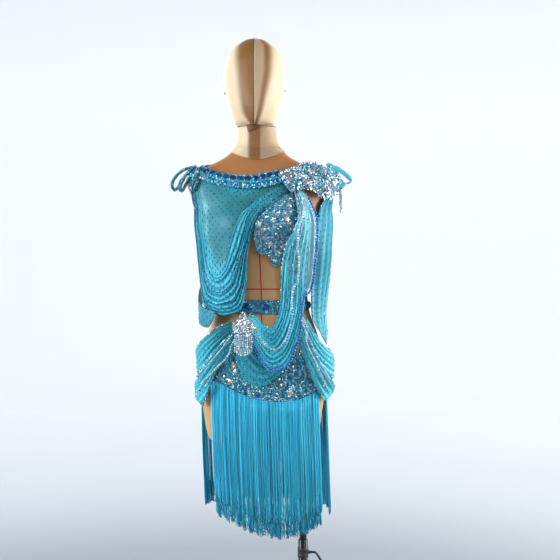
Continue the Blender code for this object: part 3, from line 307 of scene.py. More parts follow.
pinned(swept("clamp_boss", np.array([[POLE_X + 0.0125, 0, COLLAR_Z], [0.1222, 0, COLLAR_Z]]), 0.0046,
             coated, sides=20), "stand")
lever = smooth_path([(0.1218, 0, COLLAR_Z), (0.131, 0, COLLAR_Z), (0.1375, 0, COLLAR_Z - 0.002),
                     (0.143, 0, COLLAR_Z - 0.009), (0.152, 0, COLLAR_Z - 0.023),
                     (0.163, 0, COLLAR_Z - 0.041)], 40)
thick = np.interp(evenly(40), [0, 0.1, 0.14, 0.3, 0.6, 0.95, 1.0],
                  [0.0034, 0.0034, 0.0028, 0.003, 0.0036, 0.0042, 0.0028])
standing(swept("clamp_handle", lever, thick, coated, flat=0.8), "clamp_lever", "lever")

# -------------------- dress form: trunk
# Armless display trunk, a moulded shell under tan stretch jersey, with red measuring tapes sewn
# down the front and back and round the waist.
FORM = np.array([   # height, centre x, half width, front depth, back depth
    [0.672, 0.0, 0.128, 0.078, 0.092], [0.682, 0.0, 0.139, 0.086, 0.102],
    [0.74, 0.0, 0.152, 0.094, 0.113], [0.8, 0.0, 0.159, 0.099, 0.121],
    [0.857, 0.001, 0.158, 0.101, 0.124], [0.905, 0.0, 0.152, 0.1, 0.116],
    [0.945, -0.001, 0.144, 0.098, 0.105], [1.018, -0.002, 0.121, 0.091, 0.086],
    [1.068, -0.003, 0.117, 0.088, 0.082], [1.11, -0.005, 0.12, 0.091, 0.084],
    [1.17, -0.007, 0.131, 0.098, 0.091], [1.235, -0.009, 0.148, 0.103, 0.099],
    [1.275, -0.01, 0.157, 0.094, 0.101], [1.304, -0.011, 0.171, 0.084, 0.097],
    [1.333, -0.012, 0.184, 0.072, 0.086], [1.351, -0.012, 0.187, 0.064, 0.076],
    [1.364, -0.012, 0.178, 0.058, 0.068], [1.375, -0.012, 0.157, 0.054, 0.061],
    [1.39, -0.013, 0.121, 0.051, 0.056], [1.408, -0.014, 0.086, 0.05, 0.053],
    [1.43, -0.014, 0.061, 0.05, 0.053]])
SQUARENESS = 2.35
BUST = (0.064, 1.232, 0.047, 0.052, 0.03)   # x, height, half width, half height, how far out


def through(x, xs, ys):
    """Monotone cubic through a table: Hermite stretches whose end slopes are the weighted
    harmonic mean of the slopes on either side, or nought at a turn."""
    xs, ys = np.asarray(xs, float), np.asarray(ys, float)
    x = np.clip(np.asarray(x, float), xs[0], xs[-1])
    tail = (1,) * (ys.ndim - 1)
    gap = np.diff(xs).reshape((-1,) + tail)
    rise = np.diff(ys, axis=0) / gap
    a, b = rise[:-1], rise[1:]
    w1, w2 = 2 * gap[1:] + gap[:-1], gap[1:] + 2 * gap[:-1]
    same = a * b > 0
    slope = np.zeros_like(ys)
    slope[1:-1] = np.where(same, (w1 + w2) / (w1 / np.where(same, a, 1) + w2 / np.where(same, b, 1)), 0)
    slope[0], slope[-1] = rise[0], rise[-1]
    i = np.clip(np.searchsorted(xs, x) - 1, 0, len(xs) - 2)
    g = np.diff(xs)[i].reshape(i.shape + tail)
    t = ((x - xs[i]) / np.diff(xs)[i]).reshape(i.shape + tail)
    return ((1 + 2 * t) * (1 - t) ** 2 * ys[i] + t * (1 - t) ** 2 * g * slope[i]
            + t * t * (3 - 2 * t) * ys[i + 1] + t * t * (t - 1) * g * slope[i + 1])


def trunk(u, z):
    """Point of the trunk at angle u from the front and height z: a squared ellipse whose half
    axes come from the table, pushed forward by two round swells at the bust."""
    u, z = np.broadcast_arrays(np.asarray(u, float), np.asarray(z, float))
    cx, half, front, back = (through(z, FORM[:, 0], FORM[:, k]) for k in (1, 2, 3, 4))
    s, q = np.sin(u), np.cos(u)
    deep = np.where(q > 0, front, back)
    r = ((np.abs(s) / half) ** SQUARENESS + (np.abs(q) / deep) ** SQUARENESS) ** (-1 / SQUARENESS)
    x, y = cx + r * s, -r * q
    swell = sum(np.exp(-((x - cx - side * BUST[0]) / BUST[2]) ** 2 - ((z - BUST[1]) / BUST[3]) ** 2)
                for side in (-1, 1))
    return np.stack([x, y - BUST[4] * swell * np.clip(q * 3, 0, 1), z], -1)


def trunk_normal(u, z):
    """Cross product of the trunk's two slopes, taken over 2 mm and 2 mrad each way."""
    e = 2e-3
    return unit(np.cross(trunk(u + e, z) - trunk(u - e, z), trunk(u, z + e) - trunk(u, z - e)))


def off_trunk(u, z, lift):
    """A point of the trunk moved out along its normal by lift."""
    return trunk(u, z) + trunk_normal(u, z) * np.asarray(lift)[..., None]


jersey = bare("tan_stretch_jersey")      # satin-faced knit: soft wide highlight, warmer on the chest
where = add(jersey, "TexCoord", {}).outputs["Object"]
height = add(jersey, "SeparateXYZ", {"Vector": where}).outputs["Z"]
rise_up = add(jersey, "MapRange", {"Value": height, "From Min": 1.1, "From Max": 1.36})
mottle = add(jersey, "TexNoise", {"Vector": where, "Scale": 9.0, "Detail": 5.0, "Roughness": 0.6})
base_tone = add(jersey, "Mix", {"Factor": mottle, "A": "#BA8E5A", "B": "#D0A472"})
body_tone = add(jersey, "Mix", {"Factor": rise_up, "A": base_tone, "B": "#A96D39"})
ribs = add(jersey, "TexWave", {"Vector": where, "Scale": 300.0, "Distortion": 2.0},
           bands_direction="X")          # knit wales at 1 mm, coarser than the real 0.4 mm
relief = add(jersey, "Bump", {"Height": ribs.outputs["Fac"], "Strength": 0.1, "Distance": 0.0004})
shader = add(jersey, "BsdfPrincipled", {
    "Base Color": body_tone, "Roughness": 0.48, "Normal": relief, "Sheen Weight": 0.25,
    "Sheen Roughness": 0.4, "Specular IOR Level": 0.45})
add(jersey, "OutputMaterial", {"Surface": shader})

up = np.concatenate([[0.672, 0.6735, 0.676], np.linspace(0.682, 1.4298, 150)])
body = trunk(circle(160)[None], up[:, None])
body[0, :, :2] = body[1, :, :2] * 0.955
body[1, :, :2] = body[1, :, :2] * 0.985
standing(surface("trunk_cover", body, jersey, ring=True, caps=True), "form_torso")

tape = bare("red_cotton_tape")           # narrow woven tape, matt
where = add(tape, "TexCoord", {}).outputs["Object"]
weave = add(tape, "TexNoise", {"Vector": where, "Scale": 900.0})
tape_tone = add(tape, "Mix", {"Factor": weave, "A": "#A81F33", "B": "#CF3A4C"})
shader = add(tape, "BsdfPrincipled", {"Base Color": tape_tone, "Roughness": 0.8})
add(tape, "OutputMaterial", {"Surface": shader})
TAPE_WIDE, WAIST_Z = 0.0034, 1.068


def taped(name, u, z, across_u, across_z):
    """A flat strip along a line on the trunk: five points across, raised 0.5 mm in the middle."""
    k = np.array([-1, -0.9, 0, 0.9, 1])[:, None]
    lift = np.array([0.0001, 0.0005, 0.0006, 0.0005, 0.0001])[:, None] + 0 * u[None]
    strip = off_trunk(u[None] + k * across_u, z[None] + k * across_z, lift)
    pinned(surface(name, strip, tape))


line = np.linspace(0, 2 * math.pi, 200)
taped("waist_tape", line, np.full(200, WAIST_Z), 0.0, TAPE_WIDE / 2)
upright = np.linspace(0.69, 1.335, 180)
taped("front_tape", np.zeros(180), upright, TAPE_WIDE / 2 / 0.09, 0.0)
taped("back_tape", np.full(180, math.pi), upright, TAPE_WIDE / 2 / 0.09, 0.0)

# -------------------- dress form: neck and head
# Neck wrapped in gold satin, head an egg of two halves of gold satin that meet in a raised
# seam from crown to chin, pulled over a soft shell and pinned at each ear.
satin = bare("gold_stretch_satin")       # satin floats run up and down: pale and darker streaks
where = add(satin, "TexCoord", {}).outputs["Object"]
stretch = add(satin, "Mapping", {"Vector": where, "Scale": (240.0, 240.0, 9.0)})
streak = add(satin, "TexNoise", {"Vector": stretch, "Scale": 1.0, "Detail": 4.0})
streaked = add(satin, "Mix", {"Factor": streak, "A": "#8F6437", "B": "#C8A06C"})
painted_satin_light = add(satin, "Attribute", {}, attribute_name="painted_satin_light")     # 0 in the brown face panel, 1 outside: painted shade inside, painted highlight outside
panel = add(satin, "Mix", {"Factor": painted_satin_light.outputs["Fac"], "A": "#784A1C", "B": "#E8D2B0"})
satin_tone = add(satin, "Mix", {"Factor": 0.22, "A": panel, "B": streaked})
relief = add(satin, "Bump", {"Height": streak, "Strength": 0.22, "Distance": 0.0007})
shader = add(satin, "BsdfPrincipled", {
    "Base Color": satin_tone, "Roughness": 0.5, "Normal": relief, "Sheen Weight": 0.18,
    "Sheen Roughness": 0.3, "Sheen Tint": "#FFE9BC", "Specular IOR Level": 0.45})
add(satin, "OutputMaterial", {"Surface": shader})


def marked(piece, label, value):
    """Writes one number for each point of a piece, for its finish to read."""
    layer = piece.data.attributes.new(label, "FLOAT", "POINT")
    layer.data.foreach_set("value", value.ravel().astype(np.float32))


def paint_satin_light(piece, brown):
    """Writes the satin's painted light and shade: 1 less how far each point is inside the brown panel, 0 to
    1.
    """
    value = 1 - np.clip(brown, 0, 1)
    marked(piece, "painted_satin_light", value * value * (3 - 2 * value))


NECK = np.array([  # height, centre x, half width, half depth
    (1.4303, -0.0145, 0.0615, 0.05), (1.438, -0.015, 0.057, 0.05), (1.45, -0.0155, 0.054, 0.05),
    (1.466, -0.0155, 0.0515, 0.049), (1.488, -0.016, 0.049, 0.048)])
HEAD = np.array([  # height, centre y, half width, half depth
    (1.4883, -0.006, 0.044, 0.056), (1.494, -0.01, 0.05, 0.069), (1.51, -0.013, 0.056, 0.08),
    (1.53, -0.015, 0.063, 0.0875), (1.555, -0.014, 0.071, 0.093), (1.582, -0.01, 0.0775, 0.098),
    (1.611, -0.008, 0.081, 0.0995), (1.64, -0.006, 0.0785, 0.097), (1.666, -0.004, 0.07, 0.087),
    (1.688, -0.002, 0.056, 0.07), (1.703, 0.0, 0.04, 0.05), (1.712, 0.0, 0.023, 0.029),
    (1.716, 0.0, 0.003, 0.004)])
t = circle(96)[None]
z = np.linspace(1.4303, 1.488, 34)[:, None]
cx, half, deep = (through(z[:, 0], NECK[:, 0], NECK[:, k])[:, None] for k in (1, 2, 3))
swell = 0.0037 * np.exp(-(z - 1.4303) / 0.011)
neck = np.stack([cx + (half + swell) * np.sin(t), -(deep + swell) * np.cos(t), z + 0 * t], -1)
skirt = evenly(12)[:, None]       # its edge dips in front over the shoulders
low = 1.4255 - 0.027 * np.abs(np.cos(t)) ** 1.3
drop = low + (1.4299 - low) * skirt
yoke = off_trunk(t + 0 * skirt, drop, 0.0009 + 0.001 * np.exp(-(skirt / 0.1) ** 2)
                 + 0.0028 * np.exp((drop - 1.4303) / 0.01))
neck = np.concatenate([yoke, neck])
# Painted shade on the neck: a brown band down the front, paler to its sides and behind.
brown = np.maximum(1.9 - np.abs(neck[..., 0] + 0.0203) / 0.0108, 0.42 * (neck[..., 0] > -0.02)) + 0.14
neck_cover = standing(surface("neck_cover", neck, satin, ring=True), "form_neck")
paint_satin_light(neck_cover, np.where(neck[..., 1] < 0, brown, 0.5))
# A painted shadow: a small dark triangle of cloth under the chin. The piping round the seam between head and
# neck is dark brown, a painted shadow along that line.
fold = evenly(6)
corner = np.array([(-0.042, 1.488), (-0.003, 1.4865), (-0.037, 1.468)])
shadow_grid = np.array([[corner[0] * (1 - a) * (1 - b) + corner[1] * a * (1 - b) + corner[2] * b for a in fold]
                 for b in fold])
reach = np.sqrt(np.clip(1 - ((shadow_grid[..., 0] + 0.0155) / 0.05) ** 2, 0, 1)) * 0.0492
flap = np.stack([shadow_grid[..., 0], -reach - 0.0016 - 0.0012 * (1 - fold)[:, None], shadow_grid[..., 1]], -1)
shadowed = bare("shadow_brown_satin")    # dark brown: painted shadow on the chin triangle and along the head's seam; also the ear pins
shader = add(shadowed, "BsdfPrincipled", {"Base Color": "#6E4528", "Roughness": 0.6, "Sheen Weight": 0.2})
add(shadowed, "OutputMaterial", {"Surface": shader})
chin_shadow = surface("chin_shadow_patch", flap, shadowed, out=np.broadcast_to((0, -1.0, 0), flap[:-1, :-1].shape))
chin_shadow.modifiers.new("cloth", "SOLIDIFY").thickness = 0.0008
t = circle(72)
ring = np.stack([-0.016 + 0.0493 * np.sin(t), -0.0487 * np.cos(t), 1.4872 - 0.0022 * np.cos(t)], -1)
piping = swept("chin_piping", np.concatenate([ring, ring[:1]]), 0.0011, shadowed, hint=UP, sides=8)
pinned(chin_shadow)
pinned(piping)
for side, way, x, height in (("left", -1, -0.0968, 1.574), ("right", 1, 0.0552, 1.58)):
    pin_line = np.array([[x - way * 0.003, -0.012, height], [x + way * 0.0028, -0.012, height]])
    pinned(swept("ear_pin_" + side, pin_line, 0.0027, shadowed, hint=UP, sides=10))

level = 1.4883 + (1.716 - 1.4883) * (0.5 - 0.5 * np.cos(np.linspace(0, math.pi, 90)))[:, None]
t = circle(160)[None]
t = t - 0.42 * np.sin(2 * t)             # closer together at the two seams
cy, half, deep = (through(level[:, 0], HEAD[:, 0], HEAD[:, k])[:, None] for k in (1, 2, 3))
s, q = np.sin(t), np.cos(t)
chin = np.clip((1.6 - level) / 0.11, 0, 1)   # the front draws to a ridge, sharp at the chin
keel = np.where(q > 0, 2.0 - (0.22 + 0.48 * chin ** 1.3) * q, 2.0)
r = ((np.abs(s) / half) ** keel + (np.abs(q) / deep) ** keel) ** (-1 / keel)
off_seam = r * s
r = r - 0.0011 * np.exp(-(off_seam / 0.0012) ** 2) * (np.abs(q) > 0.5)
r = r + 0.0006 * np.exp(-((np.abs(off_seam) - 0.0034) / 0.0022) ** 2) * (np.abs(q) > 0.5)
puckers = np.sin(level * 1500) * 0.00022 * np.exp(-((np.abs(off_seam) - 0.004) / 0.004) ** 2)
pulled = (0.0009 * np.sin(off_seam * 900) * np.clip((1.515 - level) / 0.02, 0, 1) * (q > 0)
          * np.exp(-(off_seam / 0.02) ** 2))
r = r + puckers * (np.abs(q) > 0.5) + pulled
head = np.stack([-0.021 + r * s, cy - r * q, level + 0 * t], -1)
# Painted shade and painted highlight on the face: brown from the seam to a soft edge on the left, a narrower
# brown band on the right, cream elsewhere.
edge_of = through(level[:, 0], [1.488, 1.496, 1.512, 1.55, 1.6, 1.65, 1.69, 1.716],
                  [0.013, 0.023, 0.036, 0.046, 0.053, 0.057, 0.054, 0.02])[:, None]
band_at = through(level[:, 0], [1.488, 1.512, 1.561, 1.626, 1.68, 1.716],
                  [0.004, 0.013, 0.023, 0.033, 0.032, 0.01])[:, None]
left_of = np.minimum((0.0006 - off_seam) / 0.0012, (off_seam + edge_of) / (0.004 + 0.34 * edge_of))
right_of = 1.45 - np.abs(off_seam - band_at) / (0.0035 + 0.36 * band_at)
between = 0.45 * (off_seam > 0) * (off_seam < band_at)
head_cover = standing(surface("head_cover", head, satin, ring=True, caps=True), "form_head")
paint_satin_light(head_cover, np.maximum(np.maximum(left_of, 0.72 * right_of), between) * (q > 0) + 0.55 * (q <= 0))


# -------------------- dress: how cloth is laid
# Every piece is cut from the tables of its fold lines, laid over the trunk and over what is
# already on it, and gathered into soft ridges placed one by one.
CLOTH, CLEAR, LEAST = 0.0007, 0.0012, 0.0023     # cloth's thickness, parting between layers, first lift
SHOULDER_Z, HIP_RADIUS = 1.36, 0.135     # highest a fall starts, and metres per radian at the hip
CELL_U, CELL_Z, LOW_Z, ROWS, ROUND = math.radians(1.5), 0.003, 0.43, 344, 240
FULL_RIDGE, FULL_SHADE_DEPTH = 0.003, 0.0045  # ridge height at which the gathered dye and cover are full, and depth between folds at which the painted shade is full
layers = np.zeros((ROWS, ROUND))         # outer height of what lies at each height and angle
waiting = []                             # laid since the last press_down


def cells(u, z):
    """Row and column of the layers' table at angle u and height z."""
    return np.clip(np.round((z - LOW_Z) / CELL_Z).astype(int), 0, ROWS - 1), np.round(u / CELL_U).astype(int)


def under(u, z, wide, tall):
    """Tallest layer within so many cells of angle u and height z."""
    iz, iu = cells(u, z)
    top = np.zeros(np.shape(u))
    for a in range(-tall, tall + 1):
        for b in range(-wide, wide + 1):
            top = np.maximum(top, layers[np.clip(iz + a, 0, ROWS - 1), (iu + b) % ROUND])
    return top


def finer(a, k):
    """A grid with k times as many steps each way, straight between its points."""
    for axis in (0, 1):
        n = a.shape[axis]
        t = np.linspace(0, n - 1, (n - 1) * k + 1)
        i = np.minimum(t.astype(int), n - 2)
        f = (t - i).reshape((-1, 1) if axis == 0 else (1, -1))
        a = np.take(a, i, axis) * (1 - f) + np.take(a, i + 1, axis) * f
    return a


def press_down():
    """Adds what was laid since the last call to the layers."""
    while waiting:
        u, z, lift = (finer(a, 2) for a in waiting.pop())
        iz, iu = cells(u, z)
        np.maximum.at(layers, (iz, iu % ROUND), lift)


def plumb(u, z, lean):
    """Lift of cloth that falls from the widest point above it, leaning in by tan(lean)."""
    base = trunk(u, z)
    r0 = np.hypot(base[..., 0], base[..., 1])
    best = r0.copy()
    for step in np.arange(0.006, 0.5, 0.012):
        zz = np.minimum(z + step, np.maximum(SHOULDER_Z, z))
        p = trunk(u, zz)
        best = np.maximum(best, np.hypot(p[..., 0], p[..., 1]) - (zz - z) * math.tan(lean))
    return best - r0


def along(row, n):
    """Resamples a row of (degrees, height, least lift in mm) smoothly by length to n points."""
    p = np.array([tuple(r) + (0.0,) * (3 - len(r)) for r in row], float)
    step = np.hypot(np.diff(p[:, 0]) * 0.0022, np.diff(p[:, 1]))
    s = np.concatenate([[0], np.cumsum(np.maximum(step, 1e-5))])
    return through(np.linspace(0, s[-1], n), s, p)


def taut(lift, rounds=14):
    """Cloth bridges hollows: a point is never under the middle of its neighbours."""
    for _ in range(rounds):
        for middle, one, other in ((np.s_[:, 1:-1], np.s_[:, :-2], np.s_[:, 2:]),
                                   (np.s_[1:-1], np.s_[:-2], np.s_[2:])):
            lift = lift.copy()
            lift[middle] = np.maximum(lift[middle], (lift[one] + lift[other]) / 2)
    return lift


def eased(a, rounds=1):
    """Averages a grid with its neighbours, a quarter, a half and a quarter each way."""
    for _ in range(rounds):
        for axis in (0, 1):
            a = np.moveaxis(a, axis, 0).copy()
            a[1:-1] = a[:-2] / 4 + a[1:-1] / 2 + a[2:] / 4
            a = np.moveaxis(a, 0, axis)
    return a


def ridged(v, s, room, ridges, pinch):
    """Height of the folds: each ridge is a raised cosine across the cloth, centred on a line that
    drifts from one place to another as it runs along, and eases in and out at its ends.

    A ridge is (place at its start, place at its end, half width, height in mm, start, end) in
    shares of the cloth, the last two left out where it runs from end to end; room is the cloth's
    full width there, which keeps crowded folds low.
    """
    height = np.zeros(np.broadcast_shapes(v.shape, s.shape))
    for first, last, half, tall, *reach in ridges:
        start, end = reach or (0.0, 1.0)
        centre = first + (last - first) * s * s * (3 - 2 * s)
        swell = pinch + (1 - pinch) * np.sin(math.pi * np.clip((s - start) / (end - start), 0, 1)) ** 0.7
        swell = (swell * np.clip((s - start) / 0.08 + (start <= 0), 0, 1)
                 * np.clip((end - s) / 0.08 + (end >= 1), 0, 1))
        across = np.clip(np.abs(v - centre) / half, 0, 1)
        tall_here = np.minimum(tall * 0.001, 0.75 * room * half)
        height = np.maximum(height, tall_here * swell * (0.5 + 0.5 * np.cos(math.pi * across)) ** 0.8)
    return height


def lay(rows, across, columns, lean=None, ring=False, reach=(4, 6), fine=4, ridges=(), pinch=0.25,
        bumps=None, proud=0.0, hem=0.0005):
    """Lays one piece: its lift over the trunk is the greatest of the layers under it, what its
    table asks for and its plumb fall, drawn taut, smoothed on a grid `fine` times closer, then
    ridged.  proud is how far stones on it stand out.  Returns its grids in a dict.
    """
    lines = np.stack([along(r, columns) for r in rows])
    if isinstance(across, int):
        t = np.linspace(0, len(rows) - 1, across)
    else:
        t = np.concatenate([[0]] + [k + np.arange(1, n + 1) / n for k, n in enumerate(across)])
    order = np.arange(len(rows), dtype=float)
    coarse = through(t, order, lines)
    u, z, least = np.radians(coarse[..., 0]), coarse[..., 1], coarse[..., 2] * 0.001
    lift = np.maximum(np.maximum(under(u, z, *reach) + CLEAR, LEAST), least)
    if lean is not None:
        lift = np.maximum(lift, plumb(u, z, math.radians(lean)))
    lift = eased(finer(taut(lift), fine), 3)
    lines = np.stack([along(r, (columns - 1) * fine + 1) for r in rows])
    t = np.interp(evenly((len(t) - 1) * fine + 1), evenly(len(t)), t)
    close = through(t, order, lines)
    u, z = np.radians(close[..., 0]), close[..., 1]
    v, s = evenly(u.shape[0])[:, None], evenly(u.shape[1])[None, :]
    base = off_trunk(u, z, lift)
    trough, gathered = np.zeros(np.shape(lift)), np.zeros(np.shape(lift))
    if len(ridges):
        room = np.linalg.norm(np.diff(base, axis=0), axis=-1).sum(0)[None]
        height = ridged(v, s, room, ridges, pinch)
        lift = lift + height
        crest = height
        for step in range(1, 1 + len(height) // 22):
            crest = np.maximum(crest, np.maximum(np.roll(height, step, 0), np.roll(height, -step, 0)))
        crest = eased(crest, 3)
        gathered = np.clip(crest / FULL_RIDGE, 0, 1)
        # Painted shade: the cloth is marked to darken down between the folds.
        trough = np.clip((crest - height) / FULL_SHADE_DEPTH - 0.15, 0, 1) * gathered
    if bumps is not None:
        lift = lift + bumps(u, z)
    need = under(u, z, 1, 2) + 0.0006
    lift = np.maximum(eased(np.maximum(lift, need)), under(u, z, 1, 1) + 0.0004)
    lift[:2] += hem
    lift[-2:] += hem
    if ring:
        lift[:, -1] = lift[:, 0]
    waiting.append((u, z, lift + CLOTH + proud))
    points = off_trunk(u, z, lift + CLOTH)
    normal = unit(np.cross(np.gradient(points, axis=1), np.gradient(points, axis=0)))
    normal *= np.sign((normal * trunk_normal(u, z)).sum(-1, keepdims=True) + 1e-9)
    if ring:
        u, z, points, normal, trough, gathered = (
            a[:, :-1] for a in (u, z, points, normal, trough, gathered))
    return {"u": u, "z": z, "points": points, "normal": normal, "ring": ring, "v": v, "s": s,
            "trough": trough, "gathered": gathered}


def sewn(name, node, cloth, finish):
    """Makes a laid cloth a piece with its own thickness, in its CAD node's place."""
    cloth.update(node=node, label=name.removesuffix("_net").removesuffix("_mesh"))
    wide = None if cloth["ring"] else -1
    piece = surface(name, cloth["points"], finish, ring=cloth["ring"], out=cloth["normal"][:-1, :wide])
    for label in ("trough", "gathered"):
        marked(piece, label, cloth[label])
    wall = piece.modifiers.new("cloth", "SOLIDIFY")
    wall.thickness, wall.offset = CLOTH, -1.0
    return standing(piece, node)


def spots(cloth, s, v):
    """Points and outward directions of a cloth at shares s along and v across, read straight
    between the points of its grid."""
    out = []
    for grid in (cloth["points"], cloth["normal"]):
        if cloth["ring"]:
            grid = np.concatenate([grid, grid[:, :1]], 1)
        rows, cols = grid.shape[:2]
        y, x = np.clip(v, 0, 1) * (rows - 1), np.clip(s, 0, 1) * (cols - 1)
        i, j = np.minimum(y.astype(int), rows - 2), np.minimum(x.astype(int), cols - 2)
        a, b = (y - i)[:, None], (x - j)[:, None]
        out.append((grid[i, j] * (1 - a) + grid[i + 1, j] * a) * (1 - b)
                   + (grid[i, j + 1] * (1 - a) + grid[i + 1, j + 1] * a) * b)
    return out[0], unit(out[1])


def lattice(cloth, wide, tall, edge=0.003):
    """Shares (s, v) of a diamond net: lines across the cloth wide / 2 apart where it is longest,
    stones 2 tall apart down each, every other line shifted by tall; where the lines crowd to
    half or a quarter of that, only every second or fourth line carries stones."""
    grid = cloth["points"]
    along_row = np.linalg.norm(np.diff(grid, axis=1), axis=-1)
    longest = along_row[along_row.sum(1).argmax()]
    length = np.concatenate([[0], np.cumsum(longest)])
    stops = np.interp(np.arange(wide / 4, length[-1], wide / 2), length, evenly(len(length)))
    found = []
    for k, s in enumerate(stops):
        j = min(int(s * (grid.shape[1] - 1)), grid.shape[1] - 2)
        down = walked(grid[:, j])
        crowd = np.interp(evenly(len(down)), evenly(len(along_row)), along_row[:, j] / longest[j])
        for level, (low, high) in enumerate(((0.62, 99), (0.3, 0.62), (0, 0.3))):
            if k % 2 ** level == 0:
                y = np.arange(edge + tall * (0.4 + (k >> level) % 2), down[-1] - edge, 2 * tall)
                v = np.interp(y, down, evenly(len(down)))
                here = np.interp(y, down, crowd)
                kept = (here >= low) & (here < high)
                found.append(np.stack([np.full(kept.sum(), s), v[kept]]))
    return np.concatenate(found, 1)


NEAR = 0.0016                            # how far a stone may be from its place in a level net


def netted(cloth, wide, tall):
    """Shares (s, v) of a diamond net that hangs level: rows tall apart, stones wide apart in each
    (angle times the hip's radius), every other row shifted by half, as many again in gathers."""
    u, z, crowded = (finer(cloth[k], 2) for k in ("u", "z", "gathered"))
    rows, cols = u.shape
    found = []
    for shift, least in ((0.0, -1.0), (0.5, 0.3)):
        k = np.round(z / tall + shift)
        j = np.round(u * HIP_RADIUS / wide + k / 2)
        miss = np.hypot(u * HIP_RADIUS - (j - k / 2) * wide, z - (k - shift) * tall)
        miss = np.where(crowded > least, miss, 1.0).ravel()
        order = np.argsort(miss)
        first = order[np.unique((k * 4096 + j).ravel()[order], return_index=True)[1]]
        first = first[miss[first] < NEAR]
        found.append(np.stack([first % cols / (cols - 1), first // cols / (rows - 1)]))
    return np.clip(np.concatenate(found, 1), 0.008, 0.992)


def seam(cloth, v, pitch, start=0.0, end=1.0):
    """Shares (s, v) of one row of stones a pitch apart along a line across the cloth at v;
    v is one place or a place at each end."""
    v0, v1 = v if isinstance(v, tuple) else (v, v)
    s = np.linspace(start, end, 400)
    length = walked(spots(cloth, s, v0 + (v1 - v0) * s)[0])
    s = np.interp(np.arange(pitch / 2, length[-1], pitch), length, s)
    return np.stack([s, v0 + (v1 - v0) * s])


def seams(cloth, *rows):
    """Several such rows, each (v, pitch) or (v, pitch, start, end)."""
    return np.concatenate([seam(cloth, *row) for row in rows], 1)


foiled = bare("foil_backed_cut_glass")   # each facet mirrors the room in the stone's own colour
shader = add(foiled, "BsdfPrincipled", {
    "Base Color": add(foiled, "Attribute", {}, attribute_name="tint"), "Roughness": 0.1, "Metallic": 0.65,
    "Specular IOR Level": 0.8, "Coat Weight": 0.6, "Coat Roughness": 0.04})
add(foiled, "OutputMaterial", {"Surface": shader})


def drawn(palette, count, seed):
    """Linear colours drawn from a palette of hex words, with a little light and dark in each."""
    rng = np.random.default_rng(seed)
    pool = np.array([colour(c) for c in palette.split()])
    got = pool[rng.integers(0, len(pool), count)]
    got[:, :3] *= rng.uniform(0.75, 1.25, (count, 1))
    return got


def repeated(faces, count, step):
    """Faces of one small shape, again for each of count copies whose points lie step apart."""
    return (np.arange(count)[:, None, None] * step + faces[None]).reshape(-1, faces.shape[1]).tolist()


def crystals(name, node, at, out, size, tints, sides=6, table=True, tilt=0.14, seed=3, slim=1.0,
             along_hint=None, high=0.55):
    """Cut stones glued down: a girdle polygon of `sides`, a smaller table over it (or a point),
    and a flat back.  slim narrows them across the hint; tilt turns each at random a little."""
    count = len(at)
    rng = np.random.default_rng(seed)
    size = np.broadcast_to(size, (count,))[:, None, None] / 2
    out = unit(out + rng.normal(0, tilt, (count, 3)))
    hint = np.broadcast_to((0.0, 0.0, 1.0) if along_hint is None else along_hint, (count, 3))
    side = unit(np.cross(hint, out))
    top = np.cross(out, side)
    t = 2 * math.pi * (np.arange(sides) + 0.5) / sides
    t = t[None, :, None] + (0 if along_hint is not None else rng.uniform(0, 2, (count, 1, 1)))
    spokes = side[:, None] * np.cos(t) * slim + top[:, None] * np.sin(t)
    at, out = at[:, None], out[:, None]
    verts = [at + spokes * size * 0.92]
    k = np.arange(sides)
    m = (k + 1) % sides
    if table:
        verts += [at + spokes * size + out * size * high * 0.35,
                  at + spokes * size * 0.55 + out * size * high]
        facets = [np.stack([a + k, a + m, a + sides + m, a + sides + k], 1) for a in (0, sides)]
        facets += [2 * sides + k[None]]
    else:
        verts += [at + out * size * high * 1.15]
        facets = [np.stack([k, m, np.full(sides, sides)], 1)]
    verts = np.concatenate(verts, 1)
    faces = [face for part in facets + [k[None, ::-1]] for face in repeated(part, count, verts.shape[1])]
    return pinned(meshed(name, verts, faces, foiled, tints))


def studded(cloth, kind, shares, size, palette, seed, up=0.0, **cut):
    """Stones of one kind glued at shares (s, v) of a cloth, raised by up."""
    at, out = spots(cloth, *shares)
    return crystals(cloth["label"] + "_" + kind, cloth["node"], at + out * up, out, size,
                    drawn(palette, len(at), seed), **cut)


def beads(name, at, size, tints, sides=8, rings=5):
    """Round beads, each a sphere of a few sides round its point."""
    a = np.linspace(0, math.pi, rings + 1)[1:-1]
    t = 2 * math.pi * np.arange(sides) / sides
    belts = np.stack([np.outer(np.sin(a), np.cos(t)), np.outer(np.sin(a), np.sin(t)),
                      np.outer(np.cos(a), 1 + 0 * t)], -1)
    ball = np.concatenate([[[0, 0, 1]], belts.reshape(-1, 3), [[0, 0, -1]]])
    size = np.broadcast_to(size, (len(at),))[:, None, None] / 2
    verts = ball[None] * size + at[:, None]
    k = np.arange(sides)
    m = (k + 1) % sides
    cap = np.stack([np.zeros(sides, int), 1 + k, 1 + m], 1)
    last = 1 + (rings - 2) * sides
    foot = np.stack([np.full(sides, len(ball) - 1), last + m, last + k], 1)
    belt = np.concatenate([1 + r * sides + np.stack([k, sides + k, sides + m, m], 1)
                           for r in range(rings - 2)])
    faces = [f for part in (np.concatenate([cap, foot]), belt) for f in repeated(part, len(at), len(ball))]
    return pinned(meshed(name, verts, faces, nacre, tints, smooth=True))


